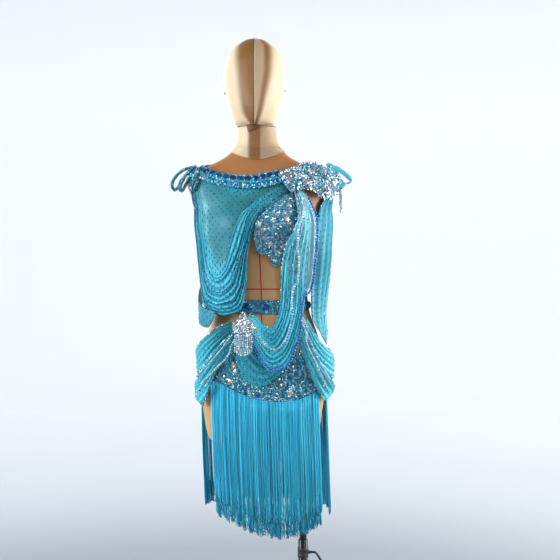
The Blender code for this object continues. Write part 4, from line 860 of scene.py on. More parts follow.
def chiffon(name, low, high, clear, rough=0.55, sheen=0.5, deep="#117E9C", crown=None):
    """Stretch mesh cloth: two close dyes in clouds, a fine net in its relief, part clear; a
    fold attribute, 1 down between two folds, darkens the dye there toward deep as painted shade."""
    cloth = bare(name)
    here = add(cloth, "TexCoord", {})
    clouds = add(cloth, "TexNoise", {"Vector": here.outputs["Object"], "Scale": 22.0, "Detail": 3.0})
    dyed = add(cloth, "Mix", {"Factor": clouds.outputs["Fac"], "A": low, "B": high})
    trough = add(cloth, "Attribute", {}, attribute_name="trough")
    if crown:                            # several layers together show their dye at its strongest
        doubled = add(cloth, "Attribute", {}, attribute_name="gathered")
        dyed = add(cloth, "Mix", {"Factor": doubled.outputs["Fac"], "A": dyed, "B": crown})
    # Painted shade: the dye darkens toward deep down between folds.
    tone = add(cloth, "Mix", {"Factor": trough.outputs["Fac"], "A": dyed, "B": deep})
    # Paler toward #92E0E8 where marked pale: a painted highlight on the cowl and by the side panel's edge,
    # paler dye on the sash and low on the side panel.
    pale_dye_and_highlight = add(cloth, "Attribute", {}, attribute_name="pale")
    tone = add(cloth, "Mix", {"Factor": pale_dye_and_highlight.outputs["Fac"], "A": tone, "B": "#92E0E8"})
    net = add(cloth, "TexVoronoi", {"Vector": here.outputs["UV"], "Scale": 700.0})
    raised = add(cloth, "Bump", {"Height": net, "Strength": 0.15, "Distance": 0.0004})
    cover = clear
    if clear < 0.9:                      # gathered mesh lies in several layers and hides more
        doubled = add(cloth, "Attribute", {}, attribute_name="gathered")
        cover = add(cloth, "MapRange", {"Value": doubled.outputs["Fac"], "To Min": clear,
                                        "To Max": min(1, clear + 0.27)})
    shader = add(cloth, "BsdfPrincipled", {
        "Base Color": tone, "Roughness": rough, "Alpha": cover, "Normal": raised, "Sheen Weight": sheen,
        "Sheen Roughness": 0.35, "Sheen Tint": high, "Specular IOR Level": 0.35})
    add(cloth, "OutputMaterial", {"Surface": shader})
    return cloth


# -------------------- dress: strap round the waist
# Firm stretch strap covered with small stones, a large blue one about every 42 mm.
stoned = chiffon("teal_ground_under_stones", "#1A6A84", "#2A8AA4", 1.0, 0.6, 0.2)
band = lay([
    [(-180, 1.034), (-90, 1.035), (-40, 1.04), (0, 1.041), (40, 1.04), (90, 1.035), (180, 1.034)],
    [(-180, 1.019), (-90, 1.019), (-40, 1.006), (0, 1.005), (40, 1.006), (90, 1.019), (180, 1.019)]],
    3, 28, ring=True, fine=5, proud=0.0016)
strap = sewn("waist_strap", "waistband", band, stoned)
DARKS, TEALS = "#0C3F52 #0E5A72 #0B4A7A ", "#1F7F96 #35A0B4 #2E8FB0 #174F66 "
SILVERS = "#B9CBD6 #9FC3D0 #D6E2EA #8FB4C2 "
small = studded(band, "stones", lattice(band, 0.0044, 0.0026, 0.001), 0.0031,
                DARKS + TEALS + TEALS + SILVERS, 5, table=False)
at, out = spots(band, *seam(band, 0.5, 0.042))
large = crystals("waist_strap_ovals", "waistband", at + out * 0.0004, out, 0.017,
                 drawn("#0A5FB4 #0B6FC8", len(at), 6), sides=12, slim=1.0, tilt=0.02, high=0.35,
                 along_hint=np.cross(out, UP))

# -------------------- dress: back of the bodice
# Plain stretch mesh cut with a low soft neckline, net of small dark stones.
sheer = chiffon("pale_turquoise_stretch_mesh", "#25808F", "#43A2AB", 0.7, 0.5, 0.15, crown="#42BCD2")
back = lay([
    [(114, 1.343, 5), (140, 1.342, 4), (180, 1.34, 4), (220, 1.342, 4), (246, 1.343, 5)],
    [(108, 1.25, 3), (140, 1.25, 3), (180, 1.25, 3), (220, 1.25, 3), (252, 1.25, 3)],
    [(122, 1.05), (150, 1.05), (180, 1.05), (210, 1.05), (238, 1.05)]],
    7, 12, fine=6, proud=0.0012,
    ridges=[(0.1, 0.1, 0.05, 2.6, 0.05, 0.95), (0.2, 0.2, 0.05, 3.4, 0.1, 0.9),
            (0.31, 0.31, 0.055, 3.0, 0.15, 0.85), (0.43, 0.43, 0.06, 1.8, 0.2, 0.8)])
back_mesh = sewn("bodice_back_mesh", "bodice_back", back, sheer)
nail = studded(back, "stones", netted(back, 0.018, 0.01), 0.0032, DARKS, 7)
press_down()

# -------------------- dress: cowl drape of the front
# Stretch mesh gathered at the right shoulder and hung in nested U folds to the waist.
cowl = lay([
    [(-70, 1.346), (-62, 1.34), (-53, 1.334), (-40, 1.328), (-25, 1.324), (0, 1.327), (18, 1.331),
     (36, 1.338), (49, 1.343)],
    [(-71.5, 1.345), (-68, 1.256), (-68, 1.194), (-63, 1.128), (-55, 1.11), (-45, 1.126), (-35, 1.194),
     (-25, 1.246), (6, 1.296), (48.5, 1.337)],
    [(-73, 1.346), (-71, 1.236), (-71, 1.14), (-64, 1.104), (-54, 1.09), (-42, 1.108), (-31, 1.154),
     (-20, 1.236), (9, 1.286), (48, 1.33)],
    [(-75, 1.347), (-73.5, 1.228), (-73.5, 1.12), (-66, 1.066), (-51, 1.048), (-38, 1.07), (-27, 1.13),
     (-17, 1.23), (11, 1.277), (47, 1.322)],
    [(-77, 1.35), (-76, 1.206), (-75.5, 1.096), (-69, 1.042), (-50, 1.022), (-36, 1.03), (-24.5, 1.09),
     (-14, 1.206), (12, 1.268), (46, 1.313)],
    [(-79, 1.355), (-77.5, 1.298), (-78, 1.202), (-77, 1.109), (-72.5, 1.029), (-63, 1.007), (-48, 0.997),
     (-36, 1.002), (-27.5, 1.012), (-23, 1.046), (-18.5, 1.113), (-16, 1.18), (-10, 1.22), (6, 1.255),
     (25, 1.277), (45, 1.302)]],
    (6, 3, 3, 3, 4), 21, lean=4.5, fine=6, pinch=0.15, proud=0.0012,
    ridges=[(0.3, 0.32, 0.035, 3.0, 0.25, 1.0), (0.37, 0.38, 0.04, 4.5, 0.1, 1.0), (0.45, 0.44, 0.042, 6.0),
            (0.52, 0.53, 0.036, 4.0, 0.18, 0.92), (0.59, 0.59, 0.04, 6.5),
            (0.665, 0.66, 0.036, 4.5, 0.05, 1.0), (0.74, 0.745, 0.042, 7.0),
            (0.82, 0.81, 0.036, 4.6, 0.12, 1.0), (0.89, 0.9, 0.04, 6.5), (0.965, 0.97, 0.032, 5.0)])
cowl_mesh = sewn("cowl_drape", "front_drape", cowl, sheer)
v, s = cowl["v"], cowl["s"]
# A painted highlight: a pale streak below the left shoulder.
glint = np.exp(-((v - 0.235 - 0.02 * np.sin(26 * s)) / 0.045) ** 2) * np.clip((s - 0.03) / 0.04, 0, 1)
glint *= np.clip((0.36 - s) / 0.14, 0, 1) * (0.65 + 0.35 * np.sin(60 * s + 25 * v))
marked(cowl_mesh, "pale", 0.75 * glint)
dots = studded(cowl, "stones", netted(cowl, 0.017, 0.0086), 0.0038, DARKS + "#0A3A48 #1B7FA0", 8)
lines = seams(cowl, *((v, 0.0048, 0.0, 0.44) for v in (0.94, 0.88, 0.82, 0.7, 0.65)), (0.995, 0.004),
              (0.59, 0.0042, 0.0, 0.62), (0.755, 0.0042), (0.3, 0.0048, 0.45, 1.0),
              ((0.9, 0.86), 0.0048, 0.44, 1.0))
rows_of = studded(cowl, "bead_rows", lines, 0.0043, DARKS + DARKS + "#12508A #1B5F94 #2E8FB0 #8FB4C2", 9,
                  table=False)


# -------------------- dress: swag and tail of the left side
# A narrow stoned swag falls from the shoulder under the arm to the back; a short mesh tail
# crosses the waist below it.
blue_mesh = chiffon("turquoise_stretch_mesh", "#1C93B2", "#45BBD0", 0.85)
arm = lay([
    [(-99, 1.35), (-96, 1.25), (-94, 1.15), (-112, 1.085), (-140, 1.075), (-172, 1.1)],
    [(-104, 1.352), (-104, 1.25), (-107, 1.17), (-124, 1.125), (-148, 1.118), (-174, 1.135)],
    [(-109, 1.352), (-112, 1.26), (-119, 1.2), (-134, 1.165), (-154, 1.16), (-176, 1.17)]],
    7, 14, fine=6, proud=0.0012,
    ridges=[(0.06, 0.05, 0.09, 3.0), (0.24, 0.22, 0.1, 4.5), (0.42, 0.44, 0.09, 3.5, 0.1, 1.0),
            (0.62, 0.6, 0.11, 5.0), (0.8, 0.82, 0.09, 3.5, 0.1, 0.95), (0.95, 0.95, 0.07, 3.0)])
arm_swag = sewn("left_arm_swag", "left_side_swag", arm, blue_mesh)
arm_dots = studded(arm, "stones", lattice(arm, 0.011, 0.006), 0.0032, DARKS + TEALS, 10, table=False)
arm_edge = studded(arm, "edging", seams(arm, (0.01, 0.004), (0.99, 0.004), (0.24, 0.0045)), 0.0038,
                   "#0B4A7A #1B6FA8 #6FA9BC " + SILVERS, 11)
press_down()
scarf = lay([
    [(-52, 1.006), (-62, 1.012), (-74, 1.03), (-88, 1.06), (-102, 1.09)],
    [(-53, 0.994), (-61, 0.98), (-73, 0.992), (-88, 1.03), (-104, 1.072)],
    [(-54, 0.984), (-60, 0.963), (-72, 0.968), (-88, 1.008), (-106, 1.056)]],
    5, 9, lean=7, fine=7, proud=0.0012,
    ridges=[(0.12, 0.1, 0.09, 5.0), (0.34, 0.38, 0.1, 7.0), (0.58, 0.6, 0.09, 5.5, 0.1, 1.0),
            (0.84, 0.82, 0.1, 6.5)])
tail_mesh = chiffon("deep_turquoise_stretch_mesh", "#14788F", "#2F9AAE", 0.95, 0.55, 0.2)
scarf_mesh = sewn("left_waist_tail", "left_tail", scarf, tail_mesh)
net = np.concatenate([netted(scarf, 0.015, 0.0086), seams(scarf, (0.01, 0.0045), (0.99, 0.0045))], 1)
scarf_dots = studded(scarf, "stones", net, 0.0036, DARKS, 12, table=False)
press_down()

# -------------------- dress: neckband
# Firm band round the boat neck: a row of large round blue stones, a row of upright ovals
# below it, and small stones filling between.
collar = lay([
    [(-180, 1.366), (-150, 1.368), (-120, 1.38), (-100, 1.389), (-76, 1.377), (-60, 1.363), (-34, 1.356),
     (-11, 1.357), (17, 1.363), (42, 1.369), (60, 1.375), (80, 1.388), (100, 1.39), (120, 1.38), (150, 1.368),
     (180, 1.366)],
    [(-180, 1.333), (-150, 1.336), (-120, 1.354), (-100, 1.37), (-76, 1.35), (-60, 1.331), (-34, 1.32),
     (-11, 1.318), (17, 1.323), (42, 1.333), (60, 1.344), (80, 1.369), (100, 1.37), (120, 1.354),
     (150, 1.336), (180, 1.333)]],
    3, 38, ring=True, reach=(2, 2), fine=5, proud=0.0016)
band_ground = chiffon("turquoise_band_ground", "#2A93AC", "#49B6C6", 1.0, 0.5, 0.3)
neck_band = sewn("neck_band", "neckband", collar, band_ground)
fill = studded(collar, "small_stones", lattice(collar, 0.0062, 0.0033), 0.0034,
               TEALS + "#4FB4C8 #2F93C0 " + SILVERS, 13, table=False)
rim = studded(collar, "edging", seams(collar, (0.03, 0.0045), (0.97, 0.0045)), 0.0038,
              "#1B6FA8 #2E8FB0 #0B4A7A #8FB4C2", 14)
rounds = studded(collar, "round_stones", seam(collar, 0.27, 0.019), 0.016, "#0E5FA6 #1270B8 #0C5394", 15,
                 0.0006, sides=10, tilt=0.05, high=0.36)
ovals = studded(collar, "oval_stones", seam(collar, 0.73, 0.0118), 0.0138, "#2F86C4 #55A8D4 #9FD0E4 #2A78BC",
                16, 0.0005, sides=10, slim=0.6, tilt=0.06, along_hint=UP, high=0.4)

# -------------------- dress: right cup
# Net cup covered with scrolls of small stones round large clear and pearly ones.


def scrolls(cloth, pitch, radius, seed):
    """Stones in rings round scattered centres: every point belongs to its nearest centre, and
    stones sit a pitch apart on circles a pitch apart, none over the cloth's edge.  Returns the
    stones' shares, their ring numbers and the centres' shares."""
    grid = cloth["points"]
    deep = np.linalg.norm(np.diff(grid, axis=0), axis=-1).sum(0)
    length = walked(grid[grid.shape[0] // 2])
    rng = np.random.default_rng(seed)
    wide, tall = length[-1], deep.max()
    gx, gy = np.meshgrid(np.arange(0, wide + radius, radius * 1.7), np.arange(0, tall + radius, radius * 1.5))
    gx = gx + (np.arange(gx.shape[0]) % 2)[:, None] * radius * 0.85
    hubs = np.stack([gx.ravel(), gy.ravel()], 1) + rng.uniform(-0.55, 0.55, (gx.size, 2)) * radius
    found = []
    for number in range(1, int(1.6 * radius / pitch) + 1):
        r = number * pitch
        count = int(2 * math.pi * r / pitch)
        t = 2 * math.pi * np.arange(count) / count + number * 0.7
        p = hubs[:, None] + r * np.stack([np.cos(t), np.sin(t)], -1)[None]
        own = np.repeat(np.arange(len(hubs)), count)
        p = p.reshape(-1, 2)
        gap = np.linalg.norm(p[:, None] - hubs[None], axis=-1)
        second = np.sort(gap, 1)[:, 1]
        keep = (gap.argmin(1) == own) & (second - r > pitch * 0.35)
        found.append(np.concatenate([p[keep], np.full((keep.sum(), 1), number)], 1))
    found = np.concatenate(found)

    def inside(p, edge):
        s = np.interp(p[:, 0], length, evenly(len(length)))
        here = np.interp(s, evenly(len(deep)), deep)
        v = p[:, 1] / here
        kept = (v * here > edge) & ((1 - v) * here > edge) & (p[:, 0] > edge) & (p[:, 0] < wide - edge)
        return s[kept], v[kept], kept

    s, v, kept = inside(found, 0.0015)
    return (s, v), found[kept, 2].astype(int), inside(hubs, 0.004)[:2]


def encrusted(cloth, pitch, radius, seed, size, palettes, hub_palette, hub_size):
    """Small stones in scrolls, ring by ring from the palettes in turn, a large one at each hub."""
    name, node = cloth["label"] + "_stones", cloth["node"]
    places, number, hubs = scrolls(cloth, pitch, radius, seed)
    at, out = spots(cloth, *places)
    tones = np.stack([drawn(p, len(at), seed + k) for k, p in enumerate(palettes)])
    tones = tones[number % len(palettes), np.arange(len(at))]
    rng = np.random.default_rng(seed + 9)
    small = crystals(name, node, at, out, size * rng.uniform(0.85, 1.15, len(at)), tones, table=False,
                     seed=seed, tilt=0.2)
    at, out = spots(cloth, *hubs)
    large = crystals(name + "_large", node, at + out * 0.0006, out,
                     hub_size * rng.uniform(0.7, 1.2, len(at)), drawn(hub_palette, len(at), seed + 5),
                     sides=9, seed=seed, high=0.6)
    return [small, large]


def blossoms(cloth, s, v, reach, tones, seed):
    """Flowers at shares (s, v): six slim stones spread round a small round one, each of its own
    size and turn."""
    name, node = cloth["label"] + "_flowers", cloth["node"]
    rng = np.random.default_rng(seed)
    at, out = spots(cloth, np.array(s, float), np.array(v, float))
    side = unit(np.cross(UP, out))
    up = np.cross(out, side)
    size = reach * rng.uniform(0.8, 1.2, (len(at), 1, 1))
    t = rng.uniform(0, 1, (len(at), 1, 1)) + 2 * math.pi * np.arange(6)[None, :, None] / 6
    ray = side[:, None] * np.cos(t) + up[:, None] * np.sin(t)
    outs = np.repeat(out[:, None], 6, 1) + ray * 0.3
    tint = np.repeat(drawn(tones, len(at), seed), 6, 0)
    petals = crystals(name, node, (at[:, None] + ray * size * 0.56 + out[:, None] * 0.0016).reshape(-1, 3),
                      unit(outs.reshape(-1, 3)), np.repeat(size[:, 0, 0], 6), tint, sides=8, slim=0.58,
                      along_hint=ray.reshape(-1, 3), high=0.3, tilt=0.08)
    hearts = crystals(name + "_hearts", node, at + out * 0.0024, out, size[:, 0, 0] * 0.55,
                      drawn("#E3E8EE #F2F4F6 #9FD0E0", len(at), seed + 1), sides=8, high=0.6, tilt=0.1)
    return [petals, hearts]


CHEST_RADIUS = 0.125                     # metres per radian


def bosses(centres, high, size):
    """Raised round pads of thick applique: each a dome at (degrees, height)."""
    def lift(u, z):
        out = np.zeros_like(u)
        for deg, zc in centres:
            d = np.hypot((u - math.radians(deg)) * CHEST_RADIUS, z - zc)
            out = np.maximum(out, high * np.clip(1 - (d / size) ** 2, 0, 1))
        return out
    return lift


cup = lay([
    [(-10, 1.217), (-7, 1.227), (-3.5, 1.235), (7, 1.248), (16, 1.26), (25, 1.273), (35, 1.291),
     (52, 1.316)],
    [(-9.5, 1.201), (-5.5, 1.181), (-1, 1.161), (5, 1.156), (9.5, 1.16), (15, 1.147), (18, 1.131),
     (25, 1.125), (32, 1.132), (44, 1.17), (52, 1.215)]],
    8, 13, fine=5, proud=0.003,
    bumps=bosses([(2, 1.205), (12, 1.195), (24, 1.15), (22, 1.215), (33, 1.235)], 0.003, 0.013))
cup_net = sewn("right_cup_net", "cup_applique", cup, stoned)
crusted = encrusted(cup, 0.0031, 0.0115, 21, 0.0031,
                    ["#7FB4C6 #A9CFDA #5FA0B8", "#1E708E #165C78 #2F90AA", "#389CB8 #58B4CA " + SILVERS],
                    "#C9D6E2 #C8BCCB #A9CCDC #E3E8EE #6FB0C8", 0.007)
rng = np.random.default_rng(4)
jewels = studded(cup, "jewels", (rng.uniform(0.08, 0.92, 34), rng.uniform(0.08, 0.8, 34)),
                 rng.uniform(0.004, 0.008, 34), "#DDE3EA #C9B7C8 #BFD3E0 #8FC4D8 #8FB8D8 #5FA8C4", 22,
                 0.0022, sides=8, high=0.7, tilt=0.3)
crusted += blossoms(cup, [0.3, 0.52, 0.7, 0.42, 0.62, 0.8, 0.2, 0.5],
                    [0.35, 0.22, 0.35, 0.62, 0.72, 0.2, 0.15, 0.9], 0.0085,
                    "#C9C2D2 #BFD3E0 #A9C4D2 #D6D2DA", 24)
cup_rim = studded(cup, "edging", seams(cup, (0.985, 0.004), (0.02, 0.004)), 0.0042,
                  "#2FA8C0 #5CC6D8 #1B6FA8 #8FD8E4", 23)

# -------------------- dress: drapes of the right side
# A long sheer panel hangs from the shoulder clear of the body; a narrow pale panel crusted with
# silver stones lies between it and the sash.
clear_satin = chiffon("sheer_turquoise_satin", "#168AA4", "#34A6BA", 0.93, 0.65, 0.0, crown="#2AA0B8")
side = lay([
    [(80, 1.35), (78, 1.305), (72.5, 1.265, 2), (68, 1.215, 7), (67, 1.13, 21), (66, 1.06, 22),
     (67, 0.985, 12)],
    [(85, 1.352), (87, 1.29, 26), (84, 1.23, 38), (80, 1.13, 53), (80, 1.04, 44), (82, 0.93, 13)],
    [(91, 1.352), (95, 1.28, 30), (98, 1.2, 46), (98, 1.11, 58), (98, 1.02, 47), (95, 0.92, 13)],
    [(97, 1.35), (104, 1.28, 22), (112, 1.2, 34), (116, 1.11, 43), (116, 1.04, 40), (108, 0.965, 18)]],
    11, 12, fine=6, proud=0.0012, pinch=0.3,
    ridges=[(0.04, 0.03, 0.05, 3.5), (0.15, 0.17, 0.055, 5.0), (0.27, 0.3, 0.05, 4.0), (0.4, 0.41, 0.06, 6.0),
            (0.53, 0.55, 0.05, 4.5, 0.1, 1.0), (0.66, 0.68, 0.06, 6.0), (0.8, 0.8, 0.055, 5.0),
            (0.94, 0.95, 0.05, 4.0)])
side_panel = sewn("right_side_panel", "right_side_drape", side, clear_satin)
v, s = side["v"], side["s"]
# Its dye pales towards the lower end, and one bright streak by its edge is a painted highlight.
bright = 0.4 * np.exp(-((v - 0.1 - 0.1 * s) / 0.05) ** 2) * np.exp(-((s - 0.42) / 0.16) ** 2)
glint = 0.22 * np.clip((s - 0.5) / 0.35, 0, 1) + bright
marked(side_panel, "pale", glint)
side_dots = studded(side, "stones", lattice(side, 0.017, 0.0105), 0.0032, DARKS, 24)
rows_of = seams(side, ((0.4, 0.36), 0.0052), (0.012, 0.0045), ((0.62, 0.66), 0.0046))
side_edge = studded(side, "beads", rows_of, 0.004, "#1F4660 #2A4F66 #6F8FA0 #9FB4C2", 25)
press_down()
pale_satin = chiffon("pale_silvered_satin", "#74C4D2", "#B0E2EA", 0.95, 0.35, 0.4)
panel = lay([
    [(50, 1.318), (46, 1.245), (50, 1.168), (52, 1.104), (49, 1.046)],
    [(58, 1.318), (57, 1.245), (59, 1.168), (60, 1.1), (54, 1.044)],
    [(62, 1.302), (64, 1.254), (64.5, 1.209), (65, 1.143), (62.5, 1.079), (57, 1.041)]],
    7, 9, lean=9, fine=7, proud=0.0012,
    ridges=[(0.12, 0.12, 0.12, 3.0), (0.42, 0.4, 0.13, 4.0), (0.7, 0.72, 0.12, 3.5),
            (0.93, 0.92, 0.08, 2.5)])
narrow = sewn("right_middle_panel", "right_middle_drape", panel, pale_satin)
narrow_dots = studded(panel, "stones", lattice(panel, 0.0052, 0.0046), 0.0034,
                      "#DDE6EE #B8CBD8 #7FC8D8 #4FB3CC #8FD0DC", 26, table=False)
press_down()

# -------------------- dress: hip yoke
# Low yoke of firm net crusted with scrolls of teal and silver stones; its lower edge carries
# the fringe.
FRINGE_LINE = np.array([  # degrees from the front, height of the yoke's lower edge
    (-180, 0.835), (-110, 0.838), (-84, 0.843), (-66, 0.84), (-50, 0.83), (-30, 0.808), (-6, 0.792),
    (22, 0.785), (44, 0.79), (58, 0.803), (68, 0.812), (84, 0.822), (110, 0.832), (180, 0.835)], float)


def edge_height(degrees):
    """Height of the fringe line at an angle, read smoothly through its table."""
    return through((np.asarray(degrees) + 180) % 360 - 180, FRINGE_LINE[:, 0], FRINGE_LINE[:, 1])


for name, node, start, stop, lines, steps, seed in (
        ("hip_yoke_front_net", "hip_yoke_front", -83, 83, 4, 21, 31),
        ("hip_yoke_back_net", "hip_yoke_back", 83.6, 276.4, 3, 22, 41)):
    degs = np.linspace(start, stop, 14)
    low = edge_height(degs)
    yoke = lay([[(d, 0.908) for d in degs], [(d, h) for d, h in zip(degs, low)]], lines, steps, fine=6,
               proud=0.0016)
    net = sewn(name, node, yoke, stoned)
    crust = encrusted(yoke, 0.0034, 0.0135, seed, 0.0034,
                      ["#BFE6F0 #8FD0E4 #E3F2F6", "#12506A #0F4258 #1A6F8C", "#3AA0C0 #5FB8D0 #1F7C9C"],
                      "#DDE3EA #D8BFAE #4FC0E0 #1F6FD0 #2F9FC8 #8FD0E0 #1A7F9C", 0.0066)
    spread = np.random.default_rng(seed + 2)
    crust += blossoms(yoke, spread.uniform(0.08, 0.92, 16), spread.uniform(0.2, 0.85, 16), 0.008,
                      "#D8C4B0 #E3D9CF #4F9FE0 #BFE0EC #8FD0E0", seed + 3)
    piping = studded(yoke, "piping", seam(yoke, 0.975, 0.0042), 0.0042,
                     "#2F7F96 #5FA8B8 #8FB9C4 #1F6F88 #B9CBD6", seed)
press_down()

# -------------------- dress: fringe
# Rayon chainette fringe on a narrow tape, two tiers in front and one behind; fine cords hang
# plumb from the widest part of the hip, drift into locks and fray at the hem.
rayon = bare("rayon_chainette")          # bright filament: each cord has its own shade and gloss
shader = add(rayon, "BsdfPrincipled", {
    "Base Color": add(rayon, "Attribute", {}, attribute_name="tint"), "Roughness": 0.5,
    "Sheen Weight": 0.12, "Sheen Roughness": 0.3, "Specular IOR Level": 0.28})
add(rayon, "OutputMaterial", {"Surface": shader})
FRINGE_DROP, CORD = 0.345, 0.0016


def fringed(name, node, start, stop, high, low, lift, deep, drop, tones, seed, pitch=0.00105):
    """A tape and its cords: each cord is a three-sided tube from the tape's lower edge down,
    moved sideways by a slow wave shared with its lock, a small wave of its own and a kink that
    grows in the last fifth; two in five are only the frayed ends of their neighbours."""
    rng = np.random.default_rng(seed)
    probe = np.radians(np.linspace(start, stop, 80))
    length = walked(trunk(probe, edge_height(np.degrees(probe))))
    count = int(length[-1] / pitch)
    u = np.interp((np.arange(count) + rng.uniform(0.2, 0.8, count)) * pitch, length, probe)

    def hung(u):
        radial = np.stack([np.sin(u), -np.cos(u), 0 * u], -1)
        top = edge_height(np.degrees(u))
        belly = trunk(u, top)
        for below in np.arange(0.01, 0.12, 0.01):
            belly = belly + radial * np.maximum(np.sum((trunk(u, top - below) - belly) * radial, -1),
                                                0)[:, None]
        return belly, radial, top

    belly, radial, top = hung(u)
    ahead = np.stack([-radial[:, 1], radial[:, 0], 0 * u], -1)
    steps = 16
    frays = np.where(np.arange(count)[:, None] % 5 % 2 == 1, 0.83, 0.0)     # short ends, split off
    t = frays + (1 - frays) * (1 - (1 - evenly(steps)[None, :]) ** 1.5)
    place = (np.arange(count) * pitch)[:, None]
    lock = 0.0007 * np.sin(place / 0.0011 + 1.7 * t + seed) * t + 0.0014 * np.sin(place / 0.0027 + seed) * t
    lock += 0.002 * np.sin(place / 0.009 + 2 * t) * t
    own = rng.normal(0, 0.0008, (count, 1)) * np.sin(t * rng.uniform(3, 9, (count, 1)))
    kink = rng.normal(0, 0.0018, (count, steps)) * np.clip((t - 0.82) / 0.16, 0, 1) * (1 - 0.3 * (frays > 0))
    out_by = lift + deep * rng.uniform(0.15, 0.95, (count, 1)) + 0.0012 * np.sin(math.pi * t)
    out_by = out_by + 0.001 * np.sin(place / 0.0017 + seed * 2) * t + kink[:, ::-1] * 0.6 * t ** 6
    fall = drop * (1.004 - 0.05 * rng.uniform(0, 1, (count, 1)) ** 1.7) + 0.003 * np.sin(place / 0.004 + seed)
    z = (top + high - 0.0004)[:, None] - fall * t
    line = (belly[:, None] + radial[:, None] * out_by[..., None]
            + ahead[:, None] * (lock + own + kink)[..., None])
    line[..., 0] += 0.01 * t ** 1.4                          # the hem swings a little to the right
    line[..., 2] = z
    thick = CORD / 2 * (1 + 0.1 * t) * rng.uniform(0.8, 1.15, (count, 1))
    spin = rng.uniform(0, 2, (count, 1, 1))
    turn = spin + 2 * math.pi * np.arange(3)[None, None] / 3
    verts = (line[:, :, None] + thick[..., None, None] * (radial[:, None, None] * np.cos(turn)[..., None]
             + ahead[:, None, None] * np.sin(turn)[..., None])).reshape(-1, 3)
    k, m = np.arange(3), np.array([1, 2, 0])
    wall = np.concatenate([r * 3 + np.stack([k, 3 + k, 3 + m, m], 1) for r in range(steps - 1)])
    ends = np.array([[0, 1, 2], [steps * 3 - 1, steps * 3 - 2, steps * 3 - 3]])
    faces = repeated(wall, count, steps * 3) + repeated(ends, count, steps * 3)
    tape_u = np.radians(np.linspace(start, stop, 30))
    belly, radial, top = hung(tape_u)
    corners = [(lift - 0.0002, high), (lift + 0.0012, high), (lift + 0.0012, low), (lift - 0.0002, low)]
    ring = np.stack([belly + radial * a + UP * (top + b - belly[:, 2])[:, None]
                     for a, b in corners], 1)
    base = len(verts)
    k, m = np.arange(4), np.array([1, 2, 3, 0])
    faces += repeated(base + np.stack([k, 4 + k, 4 + m, m], 1), 29, 4)
    faces += [[base, base + 1, base + 2, base + 3], [base + 119, base + 118, base + 117, base + 116]]
    verts = np.concatenate([verts, ring.reshape(-1, 3)])
    shade = drawn(tones, count, seed + 50)
    shade = 0.6 * shade + 0.4 * shade.mean(0)                 # cords lie close and share their light
    shade[:, :3] *= 1 + 0.1 * np.sin(place / 0.0011 + seed) + 0.07 * np.sin(place / 0.0041)
    shade = np.repeat(shade[:, None], steps * 3, 1)
    # Painted light: each cord is lighter at its top and darker towards its hem.
    shade[..., :3] *= (1.22 - 0.42 * np.repeat(t, 3, 1))[..., None]
    shade = np.concatenate([shade.reshape(-1, 4), np.tile(colour("#2C97BA"), (120, 1))])
    standing(meshed(name, verts, faces, rayon, shade, smooth=True), node)
    uu = np.linspace(tape_u[0], tape_u[-1], 24)
    top = edge_height(np.degrees(uu))
    outer = np.full((2, 24), lift + deep * 1.1)
    outer[0] += 0.006
    waiting.append((np.stack([uu, uu]), np.stack([top - 0.055, top + high]), outer))


OVER_TONES = "#41D2F4 #4CDAF8 #37C6EE #62E0FA #30B8E2 #41D2F4 #1488B2"
UNDER_TONES = "#2FBCE4 #38C6EC #27ACD8 #40CEF2 #13769E"
for k, (label, a, b) in enumerate((("left", -60, -25.2), ("middle", -25.2, 25.2), ("right", 25.2, 66))):
    fringed("under_fringe_" + label, "fringe_under_" + label, a, b, -0.0014, -0.008, 0.0022, 0.0036,
            FRINGE_DROP - 0.008, UNDER_TONES, 11 + k, 0.00046)
    fringed("over_fringe_" + label, "fringe_over_" + label, a, b, 0.0012, -0.003, 0.0062, 0.0032,
            FRINGE_DROP - 0.04, OVER_TONES, 21 + k, 0.00055)
for k, (label, a, b) in enumerate((("left", 209.2, 262), ("middle", 150.8, 209.2), ("right", 86, 150.8))):
    fringed("back_fringe_" + label, "fringe_back_" + label, a, b, -0.0014, -0.006, 0.0022, 0.0046,
            FRINGE_DROP - 0.01, UNDER_TONES + " " + OVER_TONES, 31 + k, 0.0005)
press_down()

